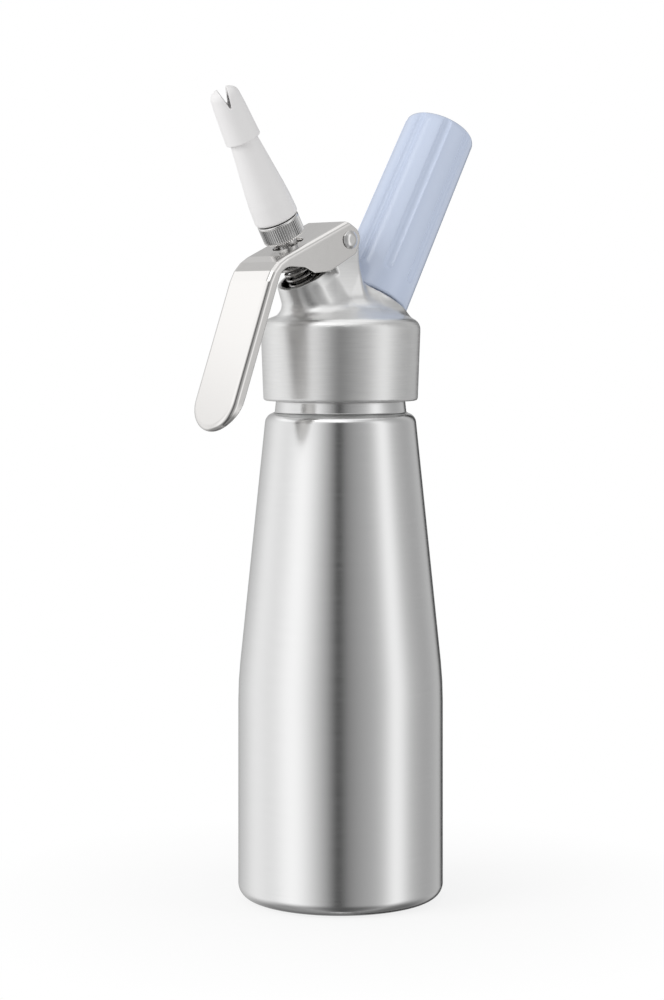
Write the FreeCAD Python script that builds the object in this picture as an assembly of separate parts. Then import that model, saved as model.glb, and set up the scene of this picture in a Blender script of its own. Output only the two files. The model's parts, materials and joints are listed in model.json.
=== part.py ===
"""Whipped cream dispenser: an aluminium bottle, a cast screw-on head with a lever valve, and a gas charger holder.

Millimetres, +Z up. The origin is the centre of the bottle's base. The nozzle and the lever lean to -X, the charger
holder leans to +X, and the object is symmetric about the XZ plane apart from its flutes, knurls and thread turns.
"""

import FreeCAD
import Part

import math
import os

from FreeCAD import Vector

# Bottle: a drawn aluminium body
BODY_R = 40.0
BOTTLE_WALL = 1.8
BASE_CORNER_R = 5.5
BASE_GROOVE_R = 27.0
BASE_GROOVE_WIDTH = 5.0
BASE_GROOVE_DEPTH = 0.8
BASE_GROOVE_EDGE_R = 2.0
BODY_STRAIGHT_Z = 84.0
BODY_BLEND_R = 150.0
SHOULDER_R = 29.2
SHOULDER_Z = 188.8
SHOULDER_EDGE_R = 4.2
SHOULDER_LIP_R = 0.6
NECK_RING_R = 25.8
NECK_RING_TOP_R = 25.3
NECK_RING_Z = 193.3
NECK_R = 24.2
NECK_TOP_Z = 213.0
NECK_ROOT_R = 1.5

# Head casting: the screw cap, with its heights measured from the top of the neck
CAP_RIM_R = 30.2
CAP_RIM_DROP = 19.5
CAP_TOP_R = 31.35
CAP_TOP_RISE = 11.3
CAP_EDGE_R = 4.5
CAP_RIM_EDGE_R = 1.2
CAP_CROWN_R = 14.0
CAP_CROWN_RISE = 18.2
CAP_CROWN_BLEND_R = 40.0
CAP_CENTRE_RISE = 19.2
THREAD_CLEARANCE = 0.5
GASKET_THICKNESS = 2.0
GASKET_WIDTH = 4.6
SEAL_GAP = 0.1
CAP_RECESS_R = 17.0
CAP_RECESS_TOP_R = 15.0
CAP_RECESS_DEPTH = 4.0

# The two slanted axes, which meet on the bottle's axis below the top of the neck
AXES_MEET_DROP = 7.0
VALVE_TILT = 30.0
CHARGER_TILT = 30.0

# Valve boss, measured along the valve axis from where the axes meet
BOSS_RIM_T = 41.0
BOSS_RIM_R = 10.2
BOSS_DRAFT = 0.14
BOSS_ROOT = 12.0
BOSS_FILLET_R = 3.5
CUP_R = 8.3
CUP_FLOOR_T = 31.0
SEAT_T = 20.0
CHAMBER_R = 7.5
GALLERY_R = 5.4
GALLERY_DEPTH = 4.0

# Valve stem and what rides on it
STEM_R = 3.6
STEM_BORE_R = 2.0
STEM_TOP_T = 64.5
STEM_CROSS_HOLE_R = 1.1
STEM_BORE_DROP = 2.0
STEM_MOUTH_EDGE_R = 0.4
RUNNING_FIT = 0.06
THREAD_FIT = 0.05
DISC_R = 6.2
DISC_THICKNESS = 2.0
VALVE_SEAL_THICKNESS = 2.0
VALVE_SEAL_R = 6.6
O_RING_WIRE = 1.4
O_RING_COUNT = 2
GLAND_HEIGHT = 4.5
GLAND_SLOT_WIDTH = 1.6
GLAND_SLOT_DEPTH = 1.2
COLLAR_R = 6.6
COLLAR_THICKNESS = 2.6
SPRING_WIRE = 1.3
SPRING_MEAN_R = 5.3
SPRING_TURNS = 6
SPRING_SEAT_GAP = 0.05

# Knurled adapter nut
NUT_R = 8.25
NUT_BOTTOM_T = 58.4
NUT_TOP_T = 66.2
NUT_CHAMFER = 0.7
NUT_LIP = 0.5
KNURL_COUNT = 52
KNURL_DEPTH = 0.4
NUT_BORE_CHAMFER = 0.5
TIP_SPIGOT_R = 5.6
TIP_SPIGOT_LENGTH = 6.0
TIP_GASKET_R = 7.3
TIP_GASKET_THICKNESS = 0.5

# Decorator tip
TIP_BASE_R = 8.65
TIP_BASE_EDGE_R = 1.2
TIP_BELLY_R = 8.5
TIP_BELLY_T = 74.0
TIP_BELLY_BLEND_R = 120.0
TIP_WAIST_R = 5.4
TIP_STEP_T = 100.6
TIP_STEP_EDGE_R = 0.3
SLEEVE_R = 6.95
SLEEVE_TOP_R = 6.15
SLEEVE_LENGTH = 21.6
TIP_NOSE_LENGTH = 8.0
TIP_NOSE_BLEND_R = 12.0
TIP_NOSE_NARROWING = 0.6
TIP_CROWN = 1.4
TIP_CROWN_R = 3.6
TIP_END_R = 1.9
TIP_END_EDGE_R = 0.8
TIP_WALL = 1.5
TIP_BORE_END_R = 2.0
TIP_THROAT_DROP = 4.0
TIP_SOCKET_SPARE = 0.5
TIP_SOCKET_TAPER = 1.0
TIP_OUTLET_R = 1.0
SLOT_DEPTH = 7.4
SLOT_TOP_WIDTH = 3.9
SLOT_ROOT_WIDTH = 0.5
SLOT_TURN = -36.0

# Lever: a pressed channel, outlined in the XZ plane. The pivot's height is measured from the top of the neck, and the
# outline's heights from the pivot
PIVOT_X = -6.2
PIVOT_RISE = 42.9
LEVER_WIDTH = 24.0
LEVER_SHEET = 1.2
LEVER_EDGE_R = 2.0
WEB_REAR_X = -7.4
WEB_REAR_RISE = 7.2
WEB_SLOPE = 24.0
HANDLE_LEAN = 20.6
BEND_X = -45.3
BEND_R = 17.0
HANDLE_LENGTH = 54.5
FLANGE_DEPTH = 4.6
FLANGE_TAPER = 9.0
FLANGE_TAPER_BLEND_R = 30.0
EAR_BACK_X = 0.7
EAR_BACK_RISE = 2.6
EAR_BACK_R = 5.0
EAR_LOW_X = -2.8
EAR_LOW_DROP = 5.3
EAR_LOW_R = 2.5
EAR_KNEE_X = -16.4
EAR_KNEE_DROP = 12.3
EAR_KNEE_R = 5.0
EAR_TOE_X = -24.4
EAR_TOE_DROP = 13.1
EAR_TOE_R = 1.5
NOTCH_X = -29.4
NOTCH_DROP = 11.0
NOTCH_R = 3.0
NOTCH_TOP_DROP = 10.7
NOTCH_CORNER_R = 6.5
WEB_HOLE_R = 5.2
WEB_HOLE_STRETCH = 2.4
LEVER_PLAY = 0.12
LEVER_SWING = 8.0

# Rib between the ears, and the rivet through both
RIB_WIDTH = 20.6
RIB_BACK_X = 0.9
RIB_BACK_CORNER_R = 6.0
RIB_TOP_R = 5.4
RIB_FRONT_OFFSET = 8.3
RIB_FRONT_CORNER_R = 1.5
RIB_LEDGE_DROP = 3.0
RIB_OVERLAP = 2.0
RIVET_R = 2.5
RIVET_HEAD_R = 3.6
RIVET_HEAD_HEIGHT = 1.3
RIVET_RIM_HEIGHT = 0.3
RIVET_RIM_EDGE_R = 0.25
RIVET_CROWN_R = 2.0
RIVET_CROWN_EDGE_R = 1.2
RIVET_END_PLAY = 0.15

# Charger boss and spigot, measured along the charger axis
FLANGE_S = 30.6
FLANGE_R = 14.6
CHARGER_BOSS_DRAFT = 0.04
SPIGOT_R = 10.8
SPIGOT_LENGTH = 14.0
SPIGOT_EDGE_R = 0.8
SPIGOT_BORE_R = 5.3

# Piercing cartridge
PIN_SEAT_S = 29.5
PIN_BODY_R = 5.2
PIN_BODY_LENGTH = 4.8
PIN_EDGE_R = 0.3
PIN_SHANK_R = 2.0
PIN_SHANK_LENGTH = 7.5
PIN_NEEDLE_R = 0.9
PIN_NEEDLE_LENGTH = 5.0
PIN_POINT_LENGTH = 1.6
PIN_POINT_R = 0.5
PIN_GAS_BORE_R = 0.4
SLEEVE_WALL = 0.9
SLEEVE_SHORTER = 2.0
SHANK_BORE_R = 3.1
GAS_PASSAGE_R = 1.2
CHARGER_SEAL_THICKNESS = 2.0
CHARGER_SEAL_BORE_R = 2.0

# Gas charger: the standard 8 g bulb
CHARGER_R = 9.2
CHARGER_LENGTH = 65.5
CHARGER_NECK_R = 4.35
CHARGER_NECK_LENGTH = 8.0
CHARGER_NECK_EDGE_R = 0.4
CHARGER_NECK_BLEND_R = 1.5
CHARGER_SHOULDER_LENGTH = 7.0
CHARGER_SHOULDER_R = 5.0
CHARGER_END_R = 7.0
CHARGER_WALL = 2.0
CHARGER_THROAT_R = 2.5
CHARGER_THROAT_BLEND_R = 1.0
CHARGER_CAP_R = 3.0
CHARGER_CAP_FIT = 0.02
CHARGER_CAP_THICKNESS = 0.6
PIERCED_HOLE_R = 1.15

# Charger holder
HOLDER_GAP = 0.6
HOLDER_RIM_R = 15.3
HOLDER_TOP_R = 14.35
HOLDER_LENGTH = 82.4
HOLDER_TOP_EDGE_R = 3.0
HOLDER_CROWN = 2.4
HOLDER_RIM_EDGE_R = 0.9
HOLDER_THREAD_CLEARANCE = 0.3
HOLDER_THREAD_LENGTH = 13.0
HOLDER_BORE_CLEARANCE = 0.4
HOLDER_END_GAP = 0.8
HOLDER_CORE_R = 6.5
HOLDER_CORE_LENGTH = 4.0
HOLDER_CORE_EDGE_R = 1.0
FLUTE_COUNT = 8
FLUTE_DEPTH = 0.9
FLUTE_CUTTER_R = 2.8
FLUTE_START = 8.5
FLUTE_TURN = 11.0

# Small roundings on turned metal edges, and how far a cutting shape runs past what it cuts
EDGE_R = 0.5
OVERRUN = 1.0

# Worked out from the sizes above
THREAD_BORE_R = NECK_R + THREAD_CLEARANCE
CEILING_Z = NECK_TOP_Z + SEAL_GAP + GASKET_THICKNESS + SEAL_GAP
CAP_RIM_Z = NECK_TOP_Z - CAP_RIM_DROP
AXES_MEET_Z = NECK_TOP_Z - AXES_MEET_DROP
PIVOT_Z = NECK_TOP_Z + PIVOT_RISE
WEB_REAR_Z = PIVOT_Z + WEB_REAR_RISE
EAR_TOE_Z = PIVOT_Z - EAR_TOE_DROP
NOTCH_TOP_Z = PIVOT_Z - NOTCH_TOP_DROP
WEB_TO_VALVE = VALVE_TILT - WEB_SLOPE
Z_AXIS = Vector(0, 0, 1)
ORIGIN = Vector(0, 0, 0)


def rounded_wire(corners):
    """A closed wire through (x, z) corners in the XZ plane; a third number rounds that corner with a tangent arc."""
    points = [Vector(c[0], 0, c[1]) for c in corners]
    radii = [c[2] if len(c) > 2 else 0.0 for c in corners]
    count = len(points)
    starts = []
    arcs = []
    for i in range(count):
        here = points[i]
        radius = radii[i]
        back = (points[i - 1] - here).normalize()
        ahead = (points[(i + 1) % count] - here).normalize()
        if radius == 0:
            starts.append((here, here))
            arcs.append(None)
            continue
        half = back.getAngle(ahead) / 2
        run = radius / math.tan(half)
        middle = (back + ahead).normalize() * (radius / math.sin(half) - radius)
        first = here + back * run
        last = here + ahead * run
        starts.append((first, last))
        arcs.append(Part.Arc(first, here + middle, last).toShape())
    edges = []
    for i in range(count):
        if arcs[i]:
            edges.append(arcs[i])
        leave = starts[i][1]
        reach = starts[(i + 1) % count][0]
        if leave.distanceToPoint(reach) > 1e-6:
            edges.append(Part.makeLine(leave, reach))
    return Part.Wire(edges)


def turned(corners):
    """A solid of revolution about Z, from a closed outline of (radius, height) corners."""
    return Part.Face(rounded_wire(corners)).revolve(ORIGIN, Z_AXIS, 360)


def extruded(corners, width):
    """A plate of the given width, centred on the XZ plane, from an outline of (x, z) corners."""
    face = Part.Face(rounded_wire(corners))
    face.translate(Vector(0, -width / 2, 0))
    return face.extrude(Vector(0, width, 0))


def tilted(shape, tilt):
    """Carries a shape made along Z to the slanted axis that leans by tilt degrees towards +X."""
    shape.rotate(ORIGIN, Vector(0, 1, 0), tilt)
    shape.translate(Vector(0, 0, AXES_MEET_Z))
    return shape


def on_valve(shape):
    return tilted(shape, -VALVE_TILT)


def on_charger(shape):
    return tilted(shape, CHARGER_TILT)


def tube(outer, inner, low, high):
    return turned([(inner, low), (outer, low), (outer, high), (inner, high)])


def rod(radius, low, high):
    return turned([(0, low), (radius, low), (radius, high), (0, high)])


def valve_point(along, across):
    """World x and z of a point in the XZ plane, given along and square to the valve axis."""
    lean = math.radians(VALVE_TILT)
    x = -along * math.sin(lean) + across * math.cos(lean)
    z = AXES_MEET_Z + along * math.cos(lean) + across * math.sin(lean)
    return x, z


def web_line(offset):
    """Height of the lever's web at x = 0, for the line that lies offset below its top face."""
    slope = math.radians(WEB_SLOPE)
    return WEB_REAR_Z - WEB_REAR_X * math.tan(slope) - offset / math.cos(slope)


def web_on_valve(offset):
    """Distance along the valve axis at which that line crosses it."""
    slope = math.radians(WEB_SLOPE)
    lean = math.radians(VALVE_TILT)
    rise = web_line(offset) - AXES_MEET_Z
    return rise / (math.cos(lean) + math.sin(lean) * math.tan(slope))


COLLAR_TOP_T = web_on_valve(LEVER_SHEET) - COLLAR_R * math.tan(math.radians(WEB_TO_VALVE)) - LEVER_PLAY
GLAND_TOP_T = CUP_FLOOR_T + GLAND_HEIGHT
O_RING_SEAT_T = CUP_FLOOR_T - O_RING_COUNT * (O_RING_WIRE + SEAL_GAP)
TIP_BASE_T = NUT_TOP_T + TIP_GASKET_THICKNESS + SEAL_GAP
TIP_END_T = TIP_STEP_T + SLEEVE_LENGTH
PIN_TOP_S = PIN_SEAT_S + PIN_BODY_LENGTH
CHARGER_END_S = PIN_TOP_S + CHARGER_SEAL_THICKNESS + SEAL_GAP
HOLDER_RIM_S = FLANGE_S + HOLDER_GAP
HOLDER_TOP_S = HOLDER_RIM_S + HOLDER_LENGTH


def bottle():
    """One drawn shell: outer outline up from a base with a stamped groove, inner outline back down."""
    wall = BOTTLE_WALL
    half_groove = BASE_GROOVE_WIDTH / 2
    outline = [
        (0, 0),
        (BASE_GROOVE_R - half_groove, 0, BASE_GROOVE_EDGE_R),
        (BASE_GROOVE_R, BASE_GROOVE_DEPTH, BASE_GROOVE_EDGE_R),
        (BASE_GROOVE_R + half_groove, 0, BASE_GROOVE_EDGE_R),
        (BODY_R, 0, BASE_CORNER_R),
        (BODY_R, BODY_STRAIGHT_Z, BODY_BLEND_R),
        (SHOULDER_R, SHOULDER_Z, SHOULDER_EDGE_R),
        (NECK_RING_R, SHOULDER_Z, SHOULDER_LIP_R),
        (NECK_RING_TOP_R, NECK_RING_Z),
        (NECK_R, NECK_RING_Z),
        (NECK_R, NECK_TOP_Z, EDGE_R),
        (NECK_R - wall, NECK_TOP_Z, EDGE_R),
        (NECK_R - wall, SHOULDER_Z - wall, NECK_ROOT_R),
        (SHOULDER_R - wall, SHOULDER_Z - 2 * wall, SHOULDER_EDGE_R - wall),
        (BODY_R - wall, BODY_STRAIGHT_Z, BODY_BLEND_R),
        (BODY_R - wall, wall, BASE_CORNER_R - wall),
        (0, wall),
    ]
    return turned(outline)


def cap():
    """The screw cap's outside as one solid, closed at the ceiling's height."""
    return turned([
        (0, CAP_RIM_Z),
        (CAP_RIM_R, CAP_RIM_Z, CAP_RIM_EDGE_R),
        (CAP_TOP_R, NECK_TOP_Z + CAP_TOP_RISE, CAP_EDGE_R),
        (CAP_CROWN_R, NECK_TOP_Z + CAP_CROWN_RISE, CAP_CROWN_BLEND_R),
        (0, NECK_TOP_Z + CAP_CENTRE_RISE),
    ])


def rib():
    """The wall between the ears. Its top clears the web's underside at the end of the swing."""
    steep = math.radians(WEB_SLOPE + LEVER_SWING)
    lean = math.radians(VALVE_TILT)
    top_z = PIVOT_Z + RIB_TOP_R
    crest_x = PIVOT_X - RIB_TOP_R * math.tan(steep / 2)
    front_x, front_z = valve_point(0, RIB_FRONT_OFFSET)
    # The front face runs along the valve axis, up to where it meets the sloping top
    fall = top_z - front_z - (crest_x - front_x) * math.tan(steep)
    along = fall / (math.cos(lean) + math.sin(lean) * math.tan(steep))
    corner_x, corner_z = valve_point(along, RIB_FRONT_OFFSET)
    ledge_t = BOSS_RIM_T - RIB_LEDGE_DROP
    return extruded([
        valve_point(BOSS_ROOT, -RIB_OVERLAP),
        valve_point(ledge_t, -RIB_OVERLAP),
        valve_point(ledge_t, RIB_FRONT_OFFSET),
        (corner_x, corner_z, RIB_FRONT_CORNER_R),
        (crest_x, top_z, RIB_TOP_R),
        (RIB_BACK_X, top_z, RIB_BACK_CORNER_R),
        (RIB_BACK_X, CEILING_Z),
    ], RIB_WIDTH)


def valve_boss():
    """A cone from deep in the cap to the cup's rim."""
    foot_r = BOSS_RIM_R + (BOSS_RIM_T - BOSS_ROOT) * BOSS_DRAFT
    return on_valve(turned([
        (0, BOSS_ROOT),
        (foot_r, BOSS_ROOT),
        (BOSS_RIM_R, BOSS_RIM_T, EDGE_R),
        (0, BOSS_RIM_T),
    ]))


def capped_boss():
    """The cap with the valve boss, rounded where they meet; turned bodies have no other curved edges."""
    joined = cap().fuse(valve_boss()).removeSplitter()
    seam = [edge for edge in joined.Edges if not isinstance(edge.Curve, (Part.Circle, Part.Line))]
    return joined.makeFillet(BOSS_FILLET_R, seam)


def charger_boss():
    """A wider, steeper-sided cone up to the flange under the charger holder."""
    foot_r = FLANGE_R + (FLANGE_S - BOSS_ROOT) * CHARGER_BOSS_DRAFT
    return on_charger(turned([
        (0, BOSS_ROOT),
        (foot_r, BOSS_ROOT),
        (FLANGE_R, FLANGE_S, EDGE_R),
        (0, FLANGE_S),
    ]))


def spigot():
    """The threaded spigot that the charger holder screws onto."""
    top = FLANGE_S + SPIGOT_LENGTH
    return on_charger(turned([
        (0, FLANGE_S - OVERRUN),
        (SPIGOT_R, FLANGE_S - OVERRUN),
        (SPIGOT_R, top, SPIGOT_EDGE_R),
        (0, top),
    ]))


def cap_hollow():
    """The threaded bore for the neck and the shallow recess above it."""
    recess_z = CEILING_Z + CAP_RECESS_DEPTH
    return turned([
        (0, CAP_RIM_Z - OVERRUN),
        (THREAD_BORE_R, CAP_RIM_Z - OVERRUN),
        (THREAD_BORE_R, CEILING_Z),
        (CAP_RECESS_R, CEILING_Z),
        (CAP_RECESS_TOP_R, recess_z),
        (0, recess_z),
    ])


def valve_bore():
    """From inside the cap: the valve chamber, gallery, guide, ring seat and the open cup."""
    guide_r = STEM_R + RUNNING_FIT
    gallery_top = SEAT_T + GALLERY_DEPTH
    ring_r = STEM_R + RUNNING_FIT + O_RING_WIRE + RUNNING_FIT
    lean = math.radians(VALVE_TILT)
    low = (CEILING_Z - AXES_MEET_Z) / math.cos(lean) - CHAMBER_R * math.tan(lean)
    return on_valve(turned([
        (0, low),
        (CHAMBER_R, low),
        (CHAMBER_R, SEAT_T),
        (GALLERY_R, SEAT_T),
        (GALLERY_R, gallery_top),
        (guide_r, gallery_top),
        (guide_r, O_RING_SEAT_T),
        (ring_r, O_RING_SEAT_T),
        (ring_r, CUP_FLOOR_T),
        (CUP_R, CUP_FLOOR_T),
        (CUP_R, BOSS_RIM_T + OVERRUN),
        (0, BOSS_RIM_T + OVERRUN),
    ]))


def charger_bore():
    """Down the spigot: the neck's bore, the cartridge's shank bore and the gas passage into the cap."""
    shank_low = PIN_SEAT_S - PIN_SHANK_LENGTH - OVERRUN
    top = FLANGE_S + SPIGOT_LENGTH + OVERRUN
    low = (CEILING_Z - AXES_MEET_Z) / math.cos(math.radians(CHARGER_TILT))
    return on_charger(turned([
        (0, low),
        (GAS_PASSAGE_R, low),
        (GAS_PASSAGE_R, shank_low),
        (SHANK_BORE_R, shank_low),
        (SHANK_BORE_R, PIN_SEAT_S),
        (SPIGOT_BORE_R, PIN_SEAT_S),
        (SPIGOT_BORE_R, top),
        (0, top),
    ]))


def across_pivot(shape):
    """Carries a shape made along Z to the pivot, lying along Y."""
    shape.rotate(ORIGIN, Vector(1, 0, 0), -90)
    shape.translate(Vector(PIVOT_X, 0, PIVOT_Z))
    return shape


def head():
    """The casting: cap, bosses and rib in one, then its bores."""
    casting = capped_boss().fuse([charger_boss(), rib(), spigot()]).removeSplitter()
    pivot = across_pivot(rod(RIVET_R + THREAD_FIT, -LEVER_WIDTH, LEVER_WIDTH))
    return casting.cut([cap_hollow(), valve_bore(), charger_bore(), pivot])


def head_gasket():
    low = NECK_TOP_Z + SEAL_GAP
    return tube(THREAD_BORE_R - SEAL_GAP, THREAD_BORE_R - SEAL_GAP - GASKET_WIDTH, low, low + GASKET_THICKNESS)


def lever_top(offset):
    """The web line, bend and handle line, offset below the outer face, as corners from the handle's end."""
    slope = math.radians(WEB_SLOPE)
    lean = math.radians(HANDLE_LEAN)
    bend_z = web_line(0) + BEND_X * math.tan(slope)
    turn = math.pi / 2 - slope - lean
    # The bend's corner moves inwards along the line that halves the angle
    shift = offset / math.cos(turn / 2)
    half = lean + turn / 2
    corner_x = BEND_X + shift * math.cos(half)
    corner_z = bend_z - shift * math.sin(half)
    reach = HANDLE_LENGTH + LEVER_WIDTH
    end_x = corner_x - reach * math.sin(lean)
    end_z = corner_z - reach * math.cos(lean)
    return (end_x, end_z), (corner_x, corner_z, BEND_R - offset)


def lever_plan(radius):
    """The handle's plan as a deep prism square to the handle: straight sides and a half round end."""
    bend_x, bend_z = lever_top(0)[1][:2]
    lean = math.radians(HANDLE_LEAN)
    reach = 6 * LEVER_WIDTH
    slab = Part.makeBox(2 * reach, 2 * radius, reach, Vector(-reach, -radius, 0))
    end = Part.makeCylinder(radius, 2 * reach, Vector(-reach, 0, 0), Vector(1, 0, 0))
    plan = slab.fuse(end).removeSplitter()
    plan.rotate(ORIGIN, Vector(0, 1, 0), HANDLE_LEAN)
    plan.translate(Vector(bend_x - HANDLE_LENGTH * math.sin(lean), 0, bend_z - HANDLE_LENGTH * math.cos(lean)))
    return plan


def lever_blank():
    """The channel's outside, with its whole depth, before it is hollowed. The flange narrows towards the end."""
    lean = math.radians(HANDLE_LEAN)
    end, bend = lever_top(0)
    end_depth = FLANGE_DEPTH - LEVER_WIDTH * math.tan(math.radians(FLANGE_TAPER))
    taper_x = bend[0] + FLANGE_DEPTH * math.cos(lean) - HANDLE_LENGTH * math.sin(lean)
    taper_z = bend[1] - FLANGE_DEPTH * math.sin(lean) - HANDLE_LENGTH * math.cos(lean)
    notch_x = taper_x + (NOTCH_TOP_Z - taper_z) * math.tan(lean)
    return extruded([
        end,
        bend,
        (WEB_REAR_X, WEB_REAR_Z),
        (EAR_BACK_X, PIVOT_Z + EAR_BACK_RISE, EAR_BACK_R),
        (EAR_LOW_X, PIVOT_Z - EAR_LOW_DROP, EAR_LOW_R),
        (EAR_KNEE_X, PIVOT_Z - EAR_KNEE_DROP, EAR_KNEE_R),
        (EAR_TOE_X, EAR_TOE_Z, EAR_TOE_R),
        (NOTCH_X, PIVOT_Z - NOTCH_DROP, NOTCH_R),
        (notch_x, NOTCH_TOP_Z, NOTCH_CORNER_R),
        (taper_x, taper_z, FLANGE_TAPER_BLEND_R),
        (end[0] + end_depth * math.cos(lean), end[1] - end_depth * math.sin(lean)),
    ], 2 * LEVER_WIDTH).common(lever_plan(LEVER_WIDTH / 2))


def lever_core():
    """What the channel goes round: the space under the web and between the flanges."""
    end, bend = lever_top(LEVER_SHEET)
    slope = math.radians(WEB_SLOPE)
    rear_x = EAR_BACK_X + LEVER_WIDTH
    rear_z = web_line(LEVER_SHEET) + rear_x * math.tan(slope)
    low_z = end[1] - LEVER_WIDTH
    core = extruded([end, bend, (rear_x, rear_z), (rear_x, low_z), (end[0], low_z)], 2 * LEVER_WIDTH)
    return core.common(lever_plan(LEVER_WIDTH / 2 - LEVER_SHEET))


def top_edges(blank, width, offset):
    """The edges where the web, bend and handle turn down into the flanges, without the web's rear edge."""
    found = []
    for edge in blank.Edges:
        middle = edge.valueAt((edge.FirstParameter + edge.LastParameter) / 2)
        at_side = abs(abs(middle.y) - width / 2) < 0.01
        if on_lever_top(middle, offset) and (at_side or middle.z < EAR_TOE_Z):
            found.append(edge)
    return found


def on_lever_top(point, offset):
    """Whether a point lies on the outside face, offset inwards, within a hundredth."""
    slope = math.radians(WEB_SLOPE)
    lean = math.radians(HANDLE_LEAN)
    corner_x, corner_z, radius = lever_top(offset)[1]
    turn = math.pi / 2 - slope - lean
    run = radius * math.tan(turn / 2)
    web = (corner_x - point.x) * math.sin(slope) + (point.z - corner_z) * math.cos(slope)
    handle = (corner_x - point.x) * math.cos(lean) + (point.z - corner_z) * math.sin(lean)
    reach = math.hypot(radius, run)
    half = lean + turn / 2
    centre_x = corner_x + reach * math.cos(half)
    centre_z = corner_z - reach * math.sin(half)
    bend = math.hypot(point.x - centre_x, point.z - centre_z) - radius
    return min(abs(web), abs(handle), abs(bend)) < 0.01


def web_hole():
    """The slot for the stem, stretched along the web, because the web slides sideways as it turns."""
    low = COLLAR_TOP_T - COLLAR_THICKNESS
    half = WEB_HOLE_STRETCH / 2
    slot = Part.makeBox(2 * half, 2 * WEB_HOLE_R, NUT_TOP_T - low, Vector(-half, -WEB_HOLE_R, low))
    ends = [rod(WEB_HOLE_R, low, NUT_TOP_T).translated(Vector(x, 0, 0)) for x in (-half, half)]
    return on_valve(slot.fuse(ends).removeSplitter())


def lever():
    """Pressed sheet: the rounded blank less its rounded core."""
    blank = lever_blank()
    blank = blank.makeFillet(LEVER_EDGE_R, top_edges(blank, LEVER_WIDTH, 0))
    core = lever_core()
    inner_r = LEVER_EDGE_R - LEVER_SHEET
    core = core.makeFillet(inner_r, top_edges(core, LEVER_WIDTH - 2 * LEVER_SHEET, LEVER_SHEET))
    bore = across_pivot(rod(RIVET_R + RUNNING_FIT, -LEVER_WIDTH, LEVER_WIDTH))
    return blank.cut([core, bore, web_hole()])


def lever_rivet():
    """A plain shank with a domed head closed down over each ear."""
    ear = LEVER_WIDTH / 2 + RIVET_END_PLAY
    rim = ear + RIVET_RIM_HEIGHT
    crown = ear + RIVET_HEAD_HEIGHT
    return across_pivot(turned([
        (0, -crown),
        (RIVET_CROWN_R, -crown, RIVET_CROWN_EDGE_R),
        (RIVET_HEAD_R, -rim, RIVET_RIM_EDGE_R),
        (RIVET_HEAD_R, -ear),
        (RIVET_R, -ear),
        (RIVET_R, ear),
        (RIVET_HEAD_R, ear),
        (RIVET_HEAD_R, rim, RIVET_RIM_EDGE_R),
        (RIVET_CROWN_R, crown, RIVET_CROWN_EDGE_R),
        (0, crown),
    ]))


def valve_stem():
    """A hollow rod with a disc at its foot and cross holes above the disc."""
    disc_top = SEAT_T - SEAL_GAP - VALVE_SEAL_THICKNESS - SEAL_GAP
    disc_low = disc_top - DISC_THICKNESS
    hole_t = SEAT_T + GALLERY_DEPTH / 2
    bore_t = hole_t - STEM_BORE_DROP
    stem = turned([
        (0, disc_low),
        (DISC_R, disc_low, EDGE_R),
        (DISC_R, disc_top),
        (STEM_R, disc_top),
        (STEM_R, STEM_TOP_T, STEM_MOUTH_EDGE_R),
        (STEM_BORE_R, STEM_TOP_T),
        (STEM_BORE_R, bore_t),
        (0, bore_t),
    ])
    for direction in (Vector(1, 0, 0), Vector(0, 1, 0)):
        start = Vector(0, 0, hole_t) - direction * DISC_R
        stem = stem.cut(Part.makeCylinder(STEM_CROSS_HOLE_R, 2 * DISC_R, start, direction))
    return on_valve(stem)


def valve_seal():
    top = SEAT_T - SEAL_GAP
    return on_valve(tube(VALVE_SEAL_R, STEM_R + THREAD_FIT, top - VALVE_SEAL_THICKNESS, top))


def stem_o_rings():
    """The rings stacked in their seat under the gland nut."""
    section = O_RING_WIRE / 2
    mean_r = STEM_R + RUNNING_FIT + section
    rings = []
    for i in range(O_RING_COUNT):
        centre = O_RING_SEAT_T + (i + 0.5) * (O_RING_WIRE + SEAL_GAP)
        rings.append(Part.makeTorus(mean_r, section, Vector(0, 0, centre)))
    return on_valve(Part.makeCompound(rings))


def gland_nut():
    """Screwed into the cup's floor, with a slot across its top for a spanner."""
    outer = CUP_R - THREAD_FIT
    bore = STEM_R + RUNNING_FIT
    nut = turned([
        (bore, CUP_FLOOR_T),
        (outer, CUP_FLOOR_T),
        (outer, GLAND_TOP_T, EDGE_R),
        (bore, GLAND_TOP_T),
    ])
    slot_low = GLAND_TOP_T - GLAND_SLOT_DEPTH
    corner = Vector(-CUP_R, -GLAND_SLOT_WIDTH / 2, slot_low)
    slot = Part.makeBox(2 * CUP_R, GLAND_SLOT_WIDTH, 2 * GLAND_SLOT_DEPTH, corner)
    return on_valve(nut.cut(slot))


def push_collar():
    """The ring locked on the stem, which the web presses and the spring pushes back."""
    low = COLLAR_TOP_T - COLLAR_THICKNESS
    bore = STEM_R + THREAD_FIT
    return on_valve(turned([
        (bore, low),
        (COLLAR_R, low, EDGE_R),
        (COLLAR_R, COLLAR_TOP_T, EDGE_R),
        (bore, COLLAR_TOP_T),
    ]))


def arc_between(first, control, last):
    """The arc from first to last whose end tangents meet at control."""
    middle = (first + last) * 0.5
    weight = first.distanceToPoint(middle) / first.distanceToPoint(control)
    return Part.Arc(first, (middle + control * weight) * (1 / (1 + weight)), last).toShape()


def biarc(first, leave, last, arrive):
    """Two tangent arcs from first to last, leaving and arriving along the unit tangents given."""
    chord = last - first
    total = leave + arrive
    spread = 2 * (1 - leave.dot(arrive))
    along = chord.dot(total)
    reach = (math.sqrt(along ** 2 + 2 * spread * chord.dot(chord)) - along) / (2 * spread)
    one = first + leave * reach
    two = last - arrive * reach
    joint = (one + two) * 0.5
    return [arc_between(first, one, joint), arc_between(joint, two, last)]


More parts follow.
